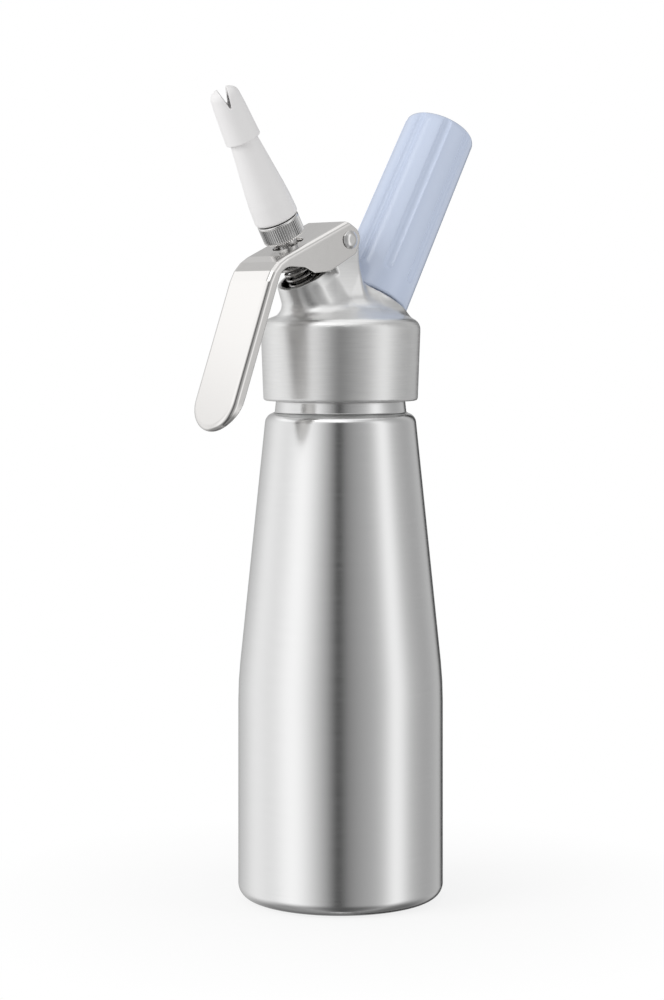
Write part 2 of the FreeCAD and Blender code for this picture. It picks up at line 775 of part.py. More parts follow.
def return_spring():
    """One wire wound as a helix between the gland nut and the collar, as one unbroken tube."""
    lift = SPRING_WIRE / 2 + SPRING_SEAT_GAP
    low = GLAND_TOP_T + lift
    high = COLLAR_TOP_T - COLLAR_THICKNESS - lift
    pitch = (high - low) / SPRING_TURNS
    quarters = 4 * SPRING_TURNS

    def point(i):
        angle = i * math.pi / 2
        return Vector(SPRING_MEAN_R * math.cos(angle), SPRING_MEAN_R * math.sin(angle), low + pitch * i / 4)

    def tangent(i):
        angle = i * math.pi / 2
        rise = pitch / (2 * math.pi)
        return Vector(-SPRING_MEAN_R * math.sin(angle), SPRING_MEAN_R * math.cos(angle), rise).normalize()

    edges = []
    for i in range(quarters):
        edges += biarc(point(i), tangent(i), point(i + 1), tangent(i + 1))
    path = Part.Wire(edges)
    start = tangent(0)
    section = Part.Wire(Part.makeCircle(SPRING_WIRE / 2, point(0), start))
    shell = Part.BRepOffsetAPI.MakePipeShell(path)
    shell.add(section)
    shell.build()
    shell.makeSolid()
    print("return spring: gap between turns", round(pitch - SPRING_WIRE, 2), "mm")
    print("return spring: wire length", round(path.Length, 1), "mm")
    return on_valve(shell.shape())


def knurled_ring():
    """A straight knurl as one extruded star outline."""
    points = []
    step = math.pi / KNURL_COUNT
    for i in range(2 * KNURL_COUNT):
        radius = NUT_R if i % 2 == 0 else NUT_R - KNURL_DEPTH
        points.append(Vector(radius * math.cos(i * step), radius * math.sin(i * step), NUT_BOTTOM_T))
    face = Part.Face(Part.makePolygon(points + points[:1]))
    return face.extrude(Vector(0, 0, NUT_TOP_T - NUT_BOTTOM_T))


def adapter_nut():
    """Knurled nut on the stem's thread, with the spigot that the tip screws onto."""
    bore = STEM_R + THREAD_FIT
    spigot_top = NUT_TOP_T + TIP_SPIGOT_LENGTH
    envelope = turned([
        (bore + NUT_BORE_CHAMFER, NUT_BOTTOM_T),
        (NUT_R - NUT_CHAMFER, NUT_BOTTOM_T),
        (NUT_R, NUT_BOTTOM_T + NUT_CHAMFER),
        (NUT_R, NUT_TOP_T - NUT_LIP),
        (NUT_R - NUT_LIP, NUT_TOP_T),
        (TIP_SPIGOT_R, NUT_TOP_T),
        (TIP_SPIGOT_R, spigot_top, EDGE_R),
        (STEM_BORE_R, spigot_top),
        (STEM_BORE_R, STEM_TOP_T + SEAL_GAP),
        (bore, STEM_TOP_T + SEAL_GAP),
        (bore, NUT_BOTTOM_T + NUT_BORE_CHAMFER),
    ])
    knurl = knurled_ring().fuse(rod(TIP_SPIGOT_R, NUT_TOP_T - NUT_LIP, spigot_top))
    return on_valve(envelope.common(knurl))


def adapter_gasket():
    low = NUT_TOP_T + SEAL_GAP / 2
    return on_valve(tube(TIP_GASKET_R, TIP_SPIGOT_R + THREAD_FIT, low, low + TIP_GASKET_THICKNESS))


def decorator_tip():
    """A long hollow cone, a sleeve with a rounded nose, and a V cut across the nose."""
    wall = TIP_WALL
    nose_t = TIP_END_T - TIP_NOSE_LENGTH
    crown_t = TIP_END_T - TIP_CROWN
    socket_r = TIP_SPIGOT_R + THREAD_CLEARANCE / 2
    socket_top = NUT_TOP_T + TIP_SPIGOT_LENGTH + TIP_SOCKET_SPARE
    waist = TIP_WAIST_R - wall
    body = turned([
        (socket_r, TIP_BASE_T),
        (TIP_BASE_R, TIP_BASE_T, TIP_BASE_EDGE_R),
        (TIP_BELLY_R, TIP_BELLY_T, TIP_BELLY_BLEND_R),
        (TIP_WAIST_R, TIP_STEP_T, TIP_STEP_EDGE_R),
        (SLEEVE_R, TIP_STEP_T, TIP_STEP_EDGE_R),
        (SLEEVE_TOP_R, nose_t, TIP_NOSE_BLEND_R),
        (SLEEVE_TOP_R - TIP_NOSE_NARROWING, crown_t, TIP_CROWN_R),
        (TIP_END_R, TIP_END_T, TIP_END_EDGE_R),
        (TIP_OUTLET_R, TIP_END_T),
        (TIP_OUTLET_R, TIP_END_T - wall),
        (waist, nose_t + wall, TIP_BORE_END_R),
        (waist, TIP_STEP_T - TIP_THROAT_DROP),
        (socket_r - TIP_SOCKET_TAPER, socket_top),
        (socket_r, socket_top),
    ])
    root_t = TIP_END_T - SLOT_DEPTH
    half_top = SLOT_TOP_WIDTH / 2
    half_root = SLOT_ROOT_WIDTH / 2
    slot = extruded([
        (-half_root, root_t),
        (half_root, root_t),
        (half_top, TIP_END_T),
        (half_top, TIP_END_T + OVERRUN),
        (-half_top, TIP_END_T + OVERRUN),
        (-half_top, TIP_END_T),
    ], 4 * SLEEVE_R)
    slot.rotate(ORIGIN, Z_AXIS, SLOT_TURN)
    return on_valve(body.cut(slot))


def piercing_pin():
    """A hollow needle on a round body, with a shank below it."""
    shank_low = PIN_SEAT_S - PIN_SHANK_LENGTH
    needle_top = PIN_TOP_S + PIN_NEEDLE_LENGTH
    return on_charger(turned([
        (PIN_GAS_BORE_R, shank_low),
        (PIN_SHANK_R, shank_low, PIN_EDGE_R),
        (PIN_SHANK_R, PIN_SEAT_S),
        (PIN_BODY_R, PIN_SEAT_S),
        (PIN_BODY_R, PIN_TOP_S, PIN_EDGE_R),
        (PIN_NEEDLE_R, PIN_TOP_S),
        (PIN_NEEDLE_R, needle_top - PIN_POINT_LENGTH),
        (PIN_POINT_R, needle_top),
        (PIN_GAS_BORE_R, needle_top),
    ]))


def non_return_sleeve():
    inner = PIN_SHANK_R + THREAD_FIT
    low = PIN_SEAT_S - PIN_SHANK_LENGTH + SLEEVE_SHORTER / 2
    high = PIN_SEAT_S - SLEEVE_SHORTER / 2
    return on_charger(tube(inner + SLEEVE_WALL, inner, low, high))


def charger_seal():
    low = PIN_TOP_S + SEAL_GAP / 2
    return on_charger(tube(PIN_BODY_R, CHARGER_SEAL_BORE_R, low, low + CHARGER_SEAL_THICKNESS))


def gas_charger():
    """The steel bulb: a thick drawn shell with a narrow neck, which points down at the pin."""
    neck = CHARGER_END_S + CHARGER_NECK_LENGTH
    shoulder = neck + CHARGER_SHOULDER_LENGTH
    top = CHARGER_END_S + CHARGER_LENGTH
    wall = CHARGER_WALL
    return on_charger(turned([
        (CHARGER_CAP_R, CHARGER_END_S),
        (CHARGER_NECK_R, CHARGER_END_S, CHARGER_NECK_EDGE_R),
        (CHARGER_NECK_R, neck, CHARGER_NECK_BLEND_R),
        (CHARGER_R, shoulder, CHARGER_SHOULDER_R),
        (CHARGER_R, top, CHARGER_END_R),
        (0, top),
        (0, top - wall),
        (CHARGER_R - wall, top - wall, CHARGER_END_R - wall),
        (CHARGER_R - wall, shoulder + wall / 2, CHARGER_SHOULDER_R - wall / 2),
        (CHARGER_THROAT_R, neck + wall / 2, CHARGER_THROAT_BLEND_R),
        (CHARGER_THROAT_R, CHARGER_END_S + CHARGER_CAP_THICKNESS),
        (CHARGER_CAP_R, CHARGER_END_S + CHARGER_CAP_THICKNESS),
    ]))


def charger_cap():
    """The thin disc in the neck, with the hole that the needle has made."""
    outer = CHARGER_CAP_R - CHARGER_CAP_FIT
    return on_charger(tube(outer, PIERCED_HOLE_R, CHARGER_END_S, CHARGER_END_S + CHARGER_CAP_THICKNESS))


def flute_cutters():
    """Round-ended rods laid along the holder's tapering side, half sunk in it."""
    taper = math.degrees(math.atan2(HOLDER_RIM_R - HOLDER_TOP_R, HOLDER_LENGTH))
    start = HOLDER_RIM_S + FLUTE_START + FLUTE_CUTTER_R
    length = HOLDER_LENGTH
    share = (start - HOLDER_RIM_S) / HOLDER_LENGTH
    side_r = HOLDER_RIM_R + (HOLDER_TOP_R - HOLDER_RIM_R) * share
    centre = side_r + FLUTE_CUTTER_R - FLUTE_DEPTH
    cutters = []
    for i in range(FLUTE_COUNT):
        cutter = Part.makeCylinder(FLUTE_CUTTER_R, length).fuse(Part.makeSphere(FLUTE_CUTTER_R))
        cutter.rotate(ORIGIN, Vector(0, 1, 0), -taper)
        cutter.translate(Vector(centre, 0, start))
        cutter.rotate(ORIGIN, Z_AXIS, FLUTE_TURN + i * 360 / FLUTE_COUNT)
        cutters.append(cutter)
    return cutters


def charger_holder():
    """A deep plastic cap: threaded mouth, bore for the bulb, fluted and slightly tapered outside."""
    mouth_r = SPIGOT_R + HOLDER_THREAD_CLEARANCE
    bore_r = CHARGER_R + HOLDER_BORE_CLEARANCE
    mouth_s = HOLDER_RIM_S + HOLDER_THREAD_LENGTH + HOLDER_GAP
    bore_s = CHARGER_END_S + CHARGER_LENGTH + HOLDER_END_GAP
    core_s = bore_s + HOLDER_CORE_LENGTH
    edge_s = HOLDER_TOP_S - HOLDER_CROWN
    body = turned([
        (mouth_r, HOLDER_RIM_S),
        (HOLDER_RIM_R, HOLDER_RIM_S, HOLDER_RIM_EDGE_R),
        (HOLDER_TOP_R, edge_s, HOLDER_TOP_EDGE_R),
        (0, HOLDER_TOP_S),
        (0, core_s),
        (HOLDER_CORE_R, core_s, HOLDER_CORE_EDGE_R),
        (HOLDER_CORE_R, bore_s),
        (bore_r, bore_s),
        (bore_r, mouth_s),
        (mouth_r, mouth_s),
    ])
    return on_charger(body.cut(flute_cutters()))


NODES = {
    "bottle": bottle,
    "head": head,
    "head_gasket": head_gasket,
    "lever": lever,
    "lever_rivet": lever_rivet,
    "valve_stem": valve_stem,
    "valve_seal": valve_seal,
    "stem_o_rings": stem_o_rings,
    "gland_nut": gland_nut,
    "push_collar": push_collar,
    "return_spring": return_spring,
    "adapter_nut": adapter_nut,
    "adapter_gasket": adapter_gasket,
    "decorator_tip": decorator_tip,
    "piercing_pin": piercing_pin,
    "non_return_sleeve": non_return_sleeve,
    "charger_seal": charger_seal,
    "gas_charger": gas_charger,
    "charger_cap": charger_cap,
    "charger_holder": charger_holder,
}


def main():
    os.makedirs("parts", exist_ok=True)
    for name, make in NODES.items():
        shape = make()
        print(name, "valid" if shape.isValid() else "NOT VALID", "solids", len(shape.Solids), round(shape.Volume, 1))
        shape.exportStep("parts/" + name + ".step")


main()
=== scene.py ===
# %% [markdown]
# # A whipped cream dispenser, dressed for its portrait
# The frame comes from the engineering model: a bottle that stands on its base, a cast head screwed on its neck, a
# lever on a rivet, a spring-loaded valve with a decorator tip, and a fluted holder for a gas charger. This lesson
# rebuilds the pieces that show as smooth surfaces, and gives every piece its finish.
# We work in millimetres on paper and hand Blender metres, because the frame is in metres.

import json
import math

import bpy
import numpy as np
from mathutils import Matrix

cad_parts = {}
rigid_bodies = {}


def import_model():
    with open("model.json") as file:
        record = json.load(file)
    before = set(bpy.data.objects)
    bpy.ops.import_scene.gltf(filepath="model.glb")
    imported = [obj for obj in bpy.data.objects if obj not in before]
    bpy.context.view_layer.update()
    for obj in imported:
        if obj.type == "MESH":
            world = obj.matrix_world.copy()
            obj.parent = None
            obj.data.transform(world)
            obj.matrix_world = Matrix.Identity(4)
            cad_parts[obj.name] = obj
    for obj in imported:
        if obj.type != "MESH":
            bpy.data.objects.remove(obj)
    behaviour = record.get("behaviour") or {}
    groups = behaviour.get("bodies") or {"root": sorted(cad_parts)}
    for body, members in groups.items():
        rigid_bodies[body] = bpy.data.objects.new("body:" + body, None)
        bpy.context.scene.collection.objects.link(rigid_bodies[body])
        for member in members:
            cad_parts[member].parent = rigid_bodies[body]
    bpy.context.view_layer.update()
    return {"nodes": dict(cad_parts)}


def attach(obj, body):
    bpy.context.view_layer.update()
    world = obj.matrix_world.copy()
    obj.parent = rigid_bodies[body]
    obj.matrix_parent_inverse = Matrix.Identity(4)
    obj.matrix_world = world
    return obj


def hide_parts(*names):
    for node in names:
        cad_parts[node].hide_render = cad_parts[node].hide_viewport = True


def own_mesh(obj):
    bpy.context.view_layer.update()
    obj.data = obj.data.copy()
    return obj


for start_up in list(bpy.data.objects):
    bpy.data.objects.remove(start_up)
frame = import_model()
nodes = frame["nodes"]
MM = 0.001

# %% [markdown]
# ## The camera
# The photograph was taken from a little below the head's height, looking level, with the picture's middle shifted down
# to take in the base. A level camera keeps the bottle's sides upright, so we use a shift and not a tilt. The lens and
# the distance were worked out from the ellipses of the cap and the base. The picture's sizes, the focal length, the
# bottle's middle and the camera's height in the picture are in pixels.

# %% Camera
PICTURE_HEIGHT = 1000
PICTURE_WIDTH = 664
FOCAL_LENGTH = 2491
MIDDLE_X, HORIZON_Y = 340.6, 325
SENSOR = 36.0
camera_data = bpy.data.cameras.new("camera")
camera_data.sensor_fit = "VERTICAL"
camera_data.sensor_height = SENSOR
camera_data.lens = SENSOR * FOCAL_LENGTH / PICTURE_HEIGHT
camera_data.shift_x = (PICTURE_WIDTH / 2 - MIDDLE_X) / PICTURE_HEIGHT
camera_data.shift_y = (HORIZON_Y - PICTURE_HEIGHT / 2) / PICTURE_HEIGHT
camera_data.clip_end = 20.0
camera = bpy.data.objects.new("camera", camera_data)
bpy.context.scene.collection.objects.link(camera)
TOWARDS_CAMERA = math.radians(-133.0)
CAMERA_REACH, CAMERA_HEIGHT = 0.975, 0.223
camera.location = (CAMERA_REACH * math.cos(TOWARDS_CAMERA), CAMERA_REACH * math.sin(TOWARDS_CAMERA), CAMERA_HEIGHT)
camera.rotation_euler = (math.pi / 2, 0, TOWARDS_CAMERA + math.pi / 2)
bpy.context.scene.camera = camera
bpy.context.scene.view_settings.view_transform = "Standard"
print("camera at", [round(v, 3) for v in camera.location], "lens", round(camera_data.lens, 1))

# %% [markdown]
# ## Mesh from arrays
# Every new piece is worked out as arrays of points and faces. One helper hands them to Blender. It also takes the exact
# direction in which the surface faces at each point, because shading that is averaged from flat facets makes faint
# bands on polished metal.


# %% From arrays to a mesh
def make_piece(name, points, faces, normals=None):
    """Points in millimetres, an (n, 3) array; faces a list of (m, 3) or (m, 4) index arrays; normals one per point."""
    counts = np.concatenate([np.full(len(f), f.shape[1], np.int32) for f in faces])
    corners = np.concatenate([f.astype(np.int32).ravel() for f in faces])
    mesh = bpy.data.meshes.new(name)
    mesh.vertices.add(len(points))
    mesh.vertices.foreach_set("co", (points * MM).astype(np.float32).ravel())
    mesh.loops.add(len(corners))
    mesh.loops.foreach_set("vertex_index", corners)
    mesh.polygons.add(len(counts))
    starts = np.concatenate([[0], np.cumsum(counts)[:-1]]).astype(np.int32)
    mesh.polygons.foreach_set("loop_start", starts)
    mesh.update(calc_edges=True)
    mesh.validate()
    mesh.polygons.foreach_set("use_smooth", np.ones(len(mesh.polygons), bool))
    if normals is not None:
        mesh.normals_split_custom_set_from_vertices(normals.astype(np.float32).tolist())
    piece = bpy.data.objects.new(name, mesh)
    bpy.context.scene.collection.objects.link(piece)
    triangles = int((counts - 2).sum())
    print(name, "points", len(points), "triangles", triangles)
    return piece


# %% [markdown]
# ## Outlines with rounded corners
# A turned piece is an outline carried round an axis. Real edges are never sharp, so each corner gets an arc that is
# tangent to both sides. The arc's points know which way they face, and that gives exact shading.


# %% Rounded outline
def rounded(corners, closed=False, fineness=9.0):
    """Points and outward normals along (radius, height) corners; a third number is that corner's arc radius.

    The arc starts radius / tan(half the corner's angle) before the corner and ends as far after it. The outline runs so
    that its outside is on its right."""
    plain = np.array([c[:2] for c in corners], float)
    radii = [c[2] if len(c) > 2 else 0.15 for c in corners]
    count = len(corners)
    points = []
    normals = []
    for i in range(count):
        here = plain[i]
        ends = not closed and i in (0, count - 1)
        if ends:
            step = plain[1] - plain[0] if i == 0 else plain[-1] - plain[-2]
            step = step / np.hypot(*step)
            points.append(here[None])
            normals.append(np.array([[step[1], -step[0]]]))
            continue
        back = plain[i - 1] - here
        ahead = plain[(i + 1) % count] - here
        back /= np.hypot(*back)
        ahead /= np.hypot(*ahead)
        bend = math.pi - math.acos(np.clip(back @ ahead, -1, 1))
        if bend < 0.001:
            points.append(here[None])
            normals.append(np.array([[ahead[1], -ahead[0]]]))
            continue
        middle = back + ahead
        middle /= np.hypot(*middle)
        half = (math.pi - bend) / 2
        centre = here + middle * radii[i] / math.sin(half)
        first = here + back * radii[i] / math.tan(half) - centre
        steps = max(3, int(math.degrees(bend) / fineness) + 1)
        last = here + ahead * radii[i] / math.tan(half) - centre
        side = np.sign(first[0] * last[1] - first[1] * last[0])
        turn = side * np.linspace(0, bend, steps)
        arc = np.stack([first[0] * np.cos(turn) - first[1] * np.sin(turn),
                        first[0] * np.sin(turn) + first[1] * np.cos(turn)], 1)
        points.append(centre + arc)
        # A corner that turns left bulges to the right, where the outside is
        normals.append(arc / radii[i] * side)
    return np.concatenate(points), np.concatenate(normals)


# %% [markdown]
# ## Turning an outline
# This is what a lathe does: each outline point goes round the axis as a ring of points. Where the outline starts and
# ends on the axis, the last ring shrinks to one point, so the skin is closed.


# %% Lathe
def turn_outline(name, outline, steps=192, place=None, closed=False, shape=None):
    """Carries an outline round its axis: point (r, h) goes to (r cos a, r sin a, h) for each angle a.

    shape, if given, changes the radius for every (angle, radius, height); place carries points to their axis."""
    flat, facing = outline
    angle = np.arange(steps) * 2 * np.pi / steps
    radius = np.repeat(flat[:, 0][:, None], steps, 1)
    height = np.repeat(flat[:, 1][:, None], steps, 1)
    if shape is not None:
        radius = shape(angle[None], radius, height)
    ring = np.stack([radius * np.cos(angle), radius * np.sin(angle), height], -1)
    normal = np.stack([facing[:, :1] * np.cos(angle), facing[:, :1] * np.sin(angle),
                       np.repeat(facing[:, 1:], steps, 1)], -1)
    rows = len(flat)
    index = np.arange(rows * steps).reshape(rows, steps)
    low = index if closed else index[:-1]
    high = np.roll(index, -1, 0) if closed else index[1:]
    if not closed:
        low, high = low[1:-1], high[1:-1]
    quads = np.stack([low, np.roll(low, -1, 1), np.roll(high, -1, 1), high], -1).reshape(-1, 4)
    points = ring.reshape(-1, 3)
    normals = normal.reshape(-1, 3)
    faces = [quads]
    if not closed:
        first, last = index[1], index[-2]
        faces.append(np.stack([np.full(steps, index[0, 0]), np.roll(first, -1), first], -1))
        faces.append(np.stack([np.full(steps, index[-1, 0]), last, np.roll(last, -1)], -1))
        keep = np.ones(len(points), bool)
        keep[index[0, 1:]] = False
        keep[index[-1, 1:]] = False
        fresh = np.cumsum(keep) - 1
        points, normals = points[keep], normals[keep]
        faces = [fresh[f] for f in faces]
    if place is not None:
        points, normals = place(points), place(normals, turn_only=True)
    return make_piece(name, points, faces, None if shape is not None else normals)


# %% [markdown]
# ## The two slanted axes
# The valve and the charger holder lean 30 degrees to either side, and their axes meet on the bottle's axis.

# %% Slanted axes
AXES_MEET = 206.0
TILT = math.radians(30.0)


def leaning(side):
    """A function that turns points about Y by the tilt, to the side given, and lifts them to where the axes meet."""
    c, s = math.cos(TILT), math.sin(TILT) * side
    matrix = np.array([[c, 0, s], [0, 1, 0], [-s, 0, c]])

    def place(points, turn_only=False):
        turned = points @ matrix.T
        return turned if turn_only else turned + (0, 0, AXES_MEET)

    return place


on_valve = leaning(-1)
on_charger = leaning(1)


def along_axis(x, y, z, side):
    """Distance from a slanted axis and distance along it, of points given in the frame."""
    c, s = math.cos(TILT), math.sin(TILT) * side
    up = z - AXES_MEET
    across = x * c - up * s
    return np.sqrt(across ** 2 + y ** 2), x * s + up * c


# %% [markdown]
# ## Shapes that flow into each other
# The head is one casting: the boss, the rib and the flange run into the cap with soft hollows. Such a form is hard to
# patch together from surfaces, but easy as a distance: a formula gives how far any point is outside the metal, two
# distances are joined with a rounded hollow, and the skin is where the distance is nought. The same goes for the
# pressed lever with its rounded edges and for the tip with its cut.


# %% Distance from an outline
def outline_distance(corners, cell=0.12, margin=7.0):
    """A function of two coordinates that gives the signed distance from a closed outline, negative inside.

    The distance to each straight run is worked out on a fine grid once, and read off between its points later."""
    line = rounded(corners, closed=True, fineness=12.0)[0]
    low = line.min(0) - margin
    high = line.max(0) + margin
    u = np.arange(low[0], high[0], cell)
    v = np.arange(low[1], high[1], cell)
    uu, vv = np.meshgrid(u, v, indexing="ij")
    best = np.full(uu.shape, 1e9)
    inside = np.zeros(uu.shape, bool)
    for a, b in zip(line, np.roll(line, -1, 0)):
        run = b - a
        share = np.clip(((uu - a[0]) * run[0] + (vv - a[1]) * run[1]) / max(run @ run, 1e-12), 0, 1)
        best = np.minimum(best, (uu - a[0] - share * run[0]) ** 2 + (vv - a[1] - share * run[1]) ** 2)
        if a[1] != b[1]:
            spans = (vv < a[1]) != (vv < b[1])
            inside ^= spans & (uu < a[0] + (vv - a[1]) * run[0] / run[1])
    table = np.where(inside, -1, 1) * np.sqrt(best)

    def distance(p, q):
        i = np.clip((p - low[0]) / cell, 0, len(u) - 1.001)
        j = np.clip((q - low[1]) / cell, 0, len(v) - 1.001)
        a, b = i.astype(np.int32), j.astype(np.int32)
        i, j = i - a, j - b
        return ((table[a, b] * (1 - i) + table[a + 1, b] * i) * (1 - j)
                + (table[a, b + 1] * (1 - i) + table[a + 1, b + 1] * i) * j)

    return distance


def joined(a, b, hollow):
    """Both bodies, with a hollow of that radius where they meet: near both skins the arc's own distance counts."""
    return np.maximum(hollow, np.minimum(a, b)) - np.hypot(np.maximum(hollow - a, 0), np.maximum(hollow - b, 0))


def melted(a, b, reach):
    """Both bodies, with a hollow that has no border: minus reach times log(exp(-a / reach) + exp(-b / reach))."""
    return -reach * np.logaddexp(-a / reach, -b / reach)


def common(a, b, edge):
    """What lies in both bodies, with its edges rounded to that radius."""
    return np.minimum(-edge, np.maximum(a, b)) + np.hypot(np.maximum(edge + a, 0), np.maximum(edge + b, 0))


# %% [markdown]
# The skin is found on a grid of small cells: wherever the distance changes sign between the corners of a cell, the cell
# gets one point, and every grid edge that crosses the skin gets a face between its four cells. Then each point slides
# down the slope of the distance until it lies exactly on the skin.


# %% Skin of a distance
def slope_of(distance, p, step=0.02):
    """The distance and its slope at points p, from differences over a small step each way."""
    parts = []
    for axis in range(3):
        shift = np.zeros(3)
        shift[axis] = step
        parts.append(distance(*(p + shift).T) - distance(*(p - shift).T))
    slope = np.stack(parts, 1) / (2 * step)
    return distance(*p.T), slope


def skin(name, distance, low, high, cell, place=None):
    """Meshes the surface on which the distance is nought, inside the box from low to high."""
    axes = [np.arange(a, b + cell, cell) for a, b in zip(low, high)]
    field = distance(*np.meshgrid(*axes, indexing="ij"))
    inside = field < 0
    size = np.array(field.shape)
    corner_steps = np.array([(i, j, k) for i in (0, 1) for j in (0, 1) for k in (0, 1)])
    tally = sum(inside[i:size[0] - 1 + i, j:size[1] - 1 + j, k:size[2] - 1 + k].astype(np.int8)
                for i, j, k in corner_steps)
    cells = np.argwhere((tally > 0) & (tally < 8))
    total = np.zeros((len(cells), 3))
    crossings = np.zeros(len(cells))
    for axis in range(3):
        ahead = np.eye(3, dtype=int)[axis]
        for start in corner_steps[corner_steps[:, axis] == 0]:
            a = field[tuple((cells + start).T)]
            b = field[tuple((cells + start + ahead).T)]
            crosses = (a < 0) != (b < 0)
            share = np.where(crosses, a / np.where(crosses, a - b, 1), 0)
            total += np.where(crosses[:, None], start + share[:, None] * ahead, 0)
            crossings += crosses
    points = (cells + total / crossings[:, None]) * cell + np.array(low)
    number = np.full(size - 1, -1, np.int64)
    number[tuple(cells.T)] = np.arange(len(cells))
    faces = []
    for axis in range(3):
        u, v = (axis + 1) % 3, (axis + 2) % 3
        here = np.take(inside, range(size[axis] - 1), axis)
        there = np.take(inside, range(1, size[axis]), axis)
        edges = np.argwhere(here != there)
        edges = edges[((edges[:, [u, v]] > 0) & (edges[:, [u, v]] < size[[u, v]] - 1)).all(1)]
        du, dv = np.eye(3, dtype=int)[u], np.eye(3, dtype=int)[v]
        around = np.stack([number[tuple((edges - s).T)] for s in (du + dv, dv, 0 * du, du)], 1)
        leaving = here[tuple(edges.T)]
        faces.append(np.where(leaving[:, None], around, around[:, ::-1]))
    faces = np.concatenate(faces)
    for _ in range(6):
        value, slope = slope_of(distance, points)
        move = (value / np.maximum((slope ** 2).sum(1), 0.1))[:, None] * slope
        reach = np.linalg.norm(move, axis=1, keepdims=True)
        points -= move * np.minimum(1, 0.3 * cell / np.maximum(reach, 1e-9))
    normals = slope_of(distance, points)[1]
    normals /= np.maximum(np.linalg.norm(normals, axis=1, keepdims=True), 1e-9)
    if place is not None:
        points, normals = place(points), place(normals, turn_only=True)
    return make_piece(name, points, [faces], normals)


# %% [markdown]
# ## The bottle
# A drawn aluminium shell: straight below, a long cone above, a short ring under the cap, and a neck with a coarse
# thread that the cap hides until the head is raised. The inside is modelled too, because the bottle opens.

# %% Bottle
WALL = 1.8
BODY_R = 40.0
CONE_LOW = 84.0
CONE_BLEND = 150.0
SHOULDER_R, SHOULDER_TOP = 29.2, 188.8
RING_TOP = 193.3
NECK_R, NECK_TOP = 24.2, 213.0
bottle_outline = rounded([
    (0, 0),
    (24.5, 0, 2.0),
    (27.0, 0.8, 2.0),
    (29.5, 0, 2.0),
    (BODY_R, 0, 5.5),
    (BODY_R, CONE_LOW, CONE_BLEND),
    (SHOULDER_R, SHOULDER_TOP, 4.2),
    (25.8, SHOULDER_TOP, 0.6),
    (25.3, RING_TOP, 0.3),
    (NECK_R, RING_TOP, 0.3),
    (NECK_R, NECK_TOP, 0.5),
    (NECK_R - WALL, NECK_TOP, 0.5),
    (NECK_R - WALL, 187.0, 1.5),
    (SHOULDER_R - WALL, 185.2, 2.4),
    (BODY_R - WALL, CONE_LOW, CONE_BLEND),
    (BODY_R - WALL, WALL, 3.7),
    (0, WALL),
], fineness=4.0)
bottle = turn_outline("bottle_shell", bottle_outline, steps=288)
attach(bottle, "bottle")
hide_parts("bottle")

# %% [markdown]
# ## The head
# One casting. The cap is a slightly tapered drum with a soft dome. The valve boss leans to one side and the flange for
# the charger holder to the other, and a broad rib stands between them for the lever's ears. Three distances are joined
# with hollows, then the bores are taken out.

# %% Head
CAP_RIM = 193.5
CEILING = 215.2
BOSS_RIM = 41.0
CUP_R = 8.3
FLANGE = 30.6
RIB_HALF = 10.3
RIB_BACK = 0.9
PIVOT = (-6.2, 255.9)
cap_form = outline_distance([
    (-60, CAP_RIM), (30.2, CAP_RIM, 1.2), (31.35, 224.3, 4.5), (14.0, 231.2, 40.0), (0, 232.2, 2), (-60, 233.0)])
valve_boss_form = outline_distance([(-40, 12), (14.26, 12), (10.2, BOSS_RIM, 0.6), (-40, BOSS_RIM)])
charger_boss_form = outline_distance([(-40, 12), (15.34, 12), (14.6, FLANGE, 0.7), (-40, FLANGE)])
spigot_form = outline_distance([(-30, 28), (10.8, 28), (10.8, FLANGE + 14, 0.8), (-30, FLANGE + 14)])
cap_bore_form = outline_distance([(-60, 180), (24.7, 180), (24.7, CEILING, 0.4), (17, CEILING, 0.4),
                                  (15, CEILING + 4, 0.4), (-60, CEILING + 4)])
valve_bore_form = outline_distance([
    (-40, 6.3), (7.5, 6.3), (7.5, 20), (5.4, 20), (5.4, 24), (3.66, 24), (3.66, 28), (5.12, 28), (5.12, 31),
    (CUP_R, 31, 0.4), (CUP_R, 60), (-40, 60)])
charger_bore_form = outline_distance([
    (-40, 10.6), (1.2, 10.6), (1.2, 21), (3.1, 21), (3.1, 29.5), (5.3, 29.5), (5.3, 60), (-40, 60)])
holder_room_form = outline_distance([(-40, FLANGE), (15.6, FLANGE), (15.6, 90), (-40, 90)])


def valve_xz(along, across):
    """Frame x and z of a point in the middle plane, given along and square to the valve axis."""
    return (across * math.cos(TILT) - along * math.sin(TILT),
            AXES_MEET + along * math.cos(TILT) + across * math.sin(TILT))


CREST_R = 5.4
RIB_TOP = PIVOT[1] + CREST_R
STEEP = math.radians(32.0)
crest_x = PIVOT[0] - CREST_R * math.tan(STEEP / 2)
front = valve_xz(0, CUP_R)
front_run = ((RIB_TOP - front[1] - (crest_x - front[0]) * math.tan(STEEP))
             / (math.cos(TILT) + math.sin(TILT) * math.tan(STEEP)))
rib_form = outline_distance([
    valve_xz(12, -2), valve_xz(38, -2), valve_xz(38, CUP_R), (*valve_xz(front_run, CUP_R), 1.5),
    (crest_x, RIB_TOP, CREST_R), (RIB_BACK, RIB_TOP, 6.0), (RIB_BACK, CEILING)][::-1])
# The rib's flanks spread by this much for each millimetre towards the flange, from SPREAD_X on and full below
# SPREAD_LOW, but not above SPREAD_HIGH, where the lever's ears swing
SPREAD = 0.11
SPREAD_X = -13
SPREAD_LOW, SPREAD_HIGH = 236, 248


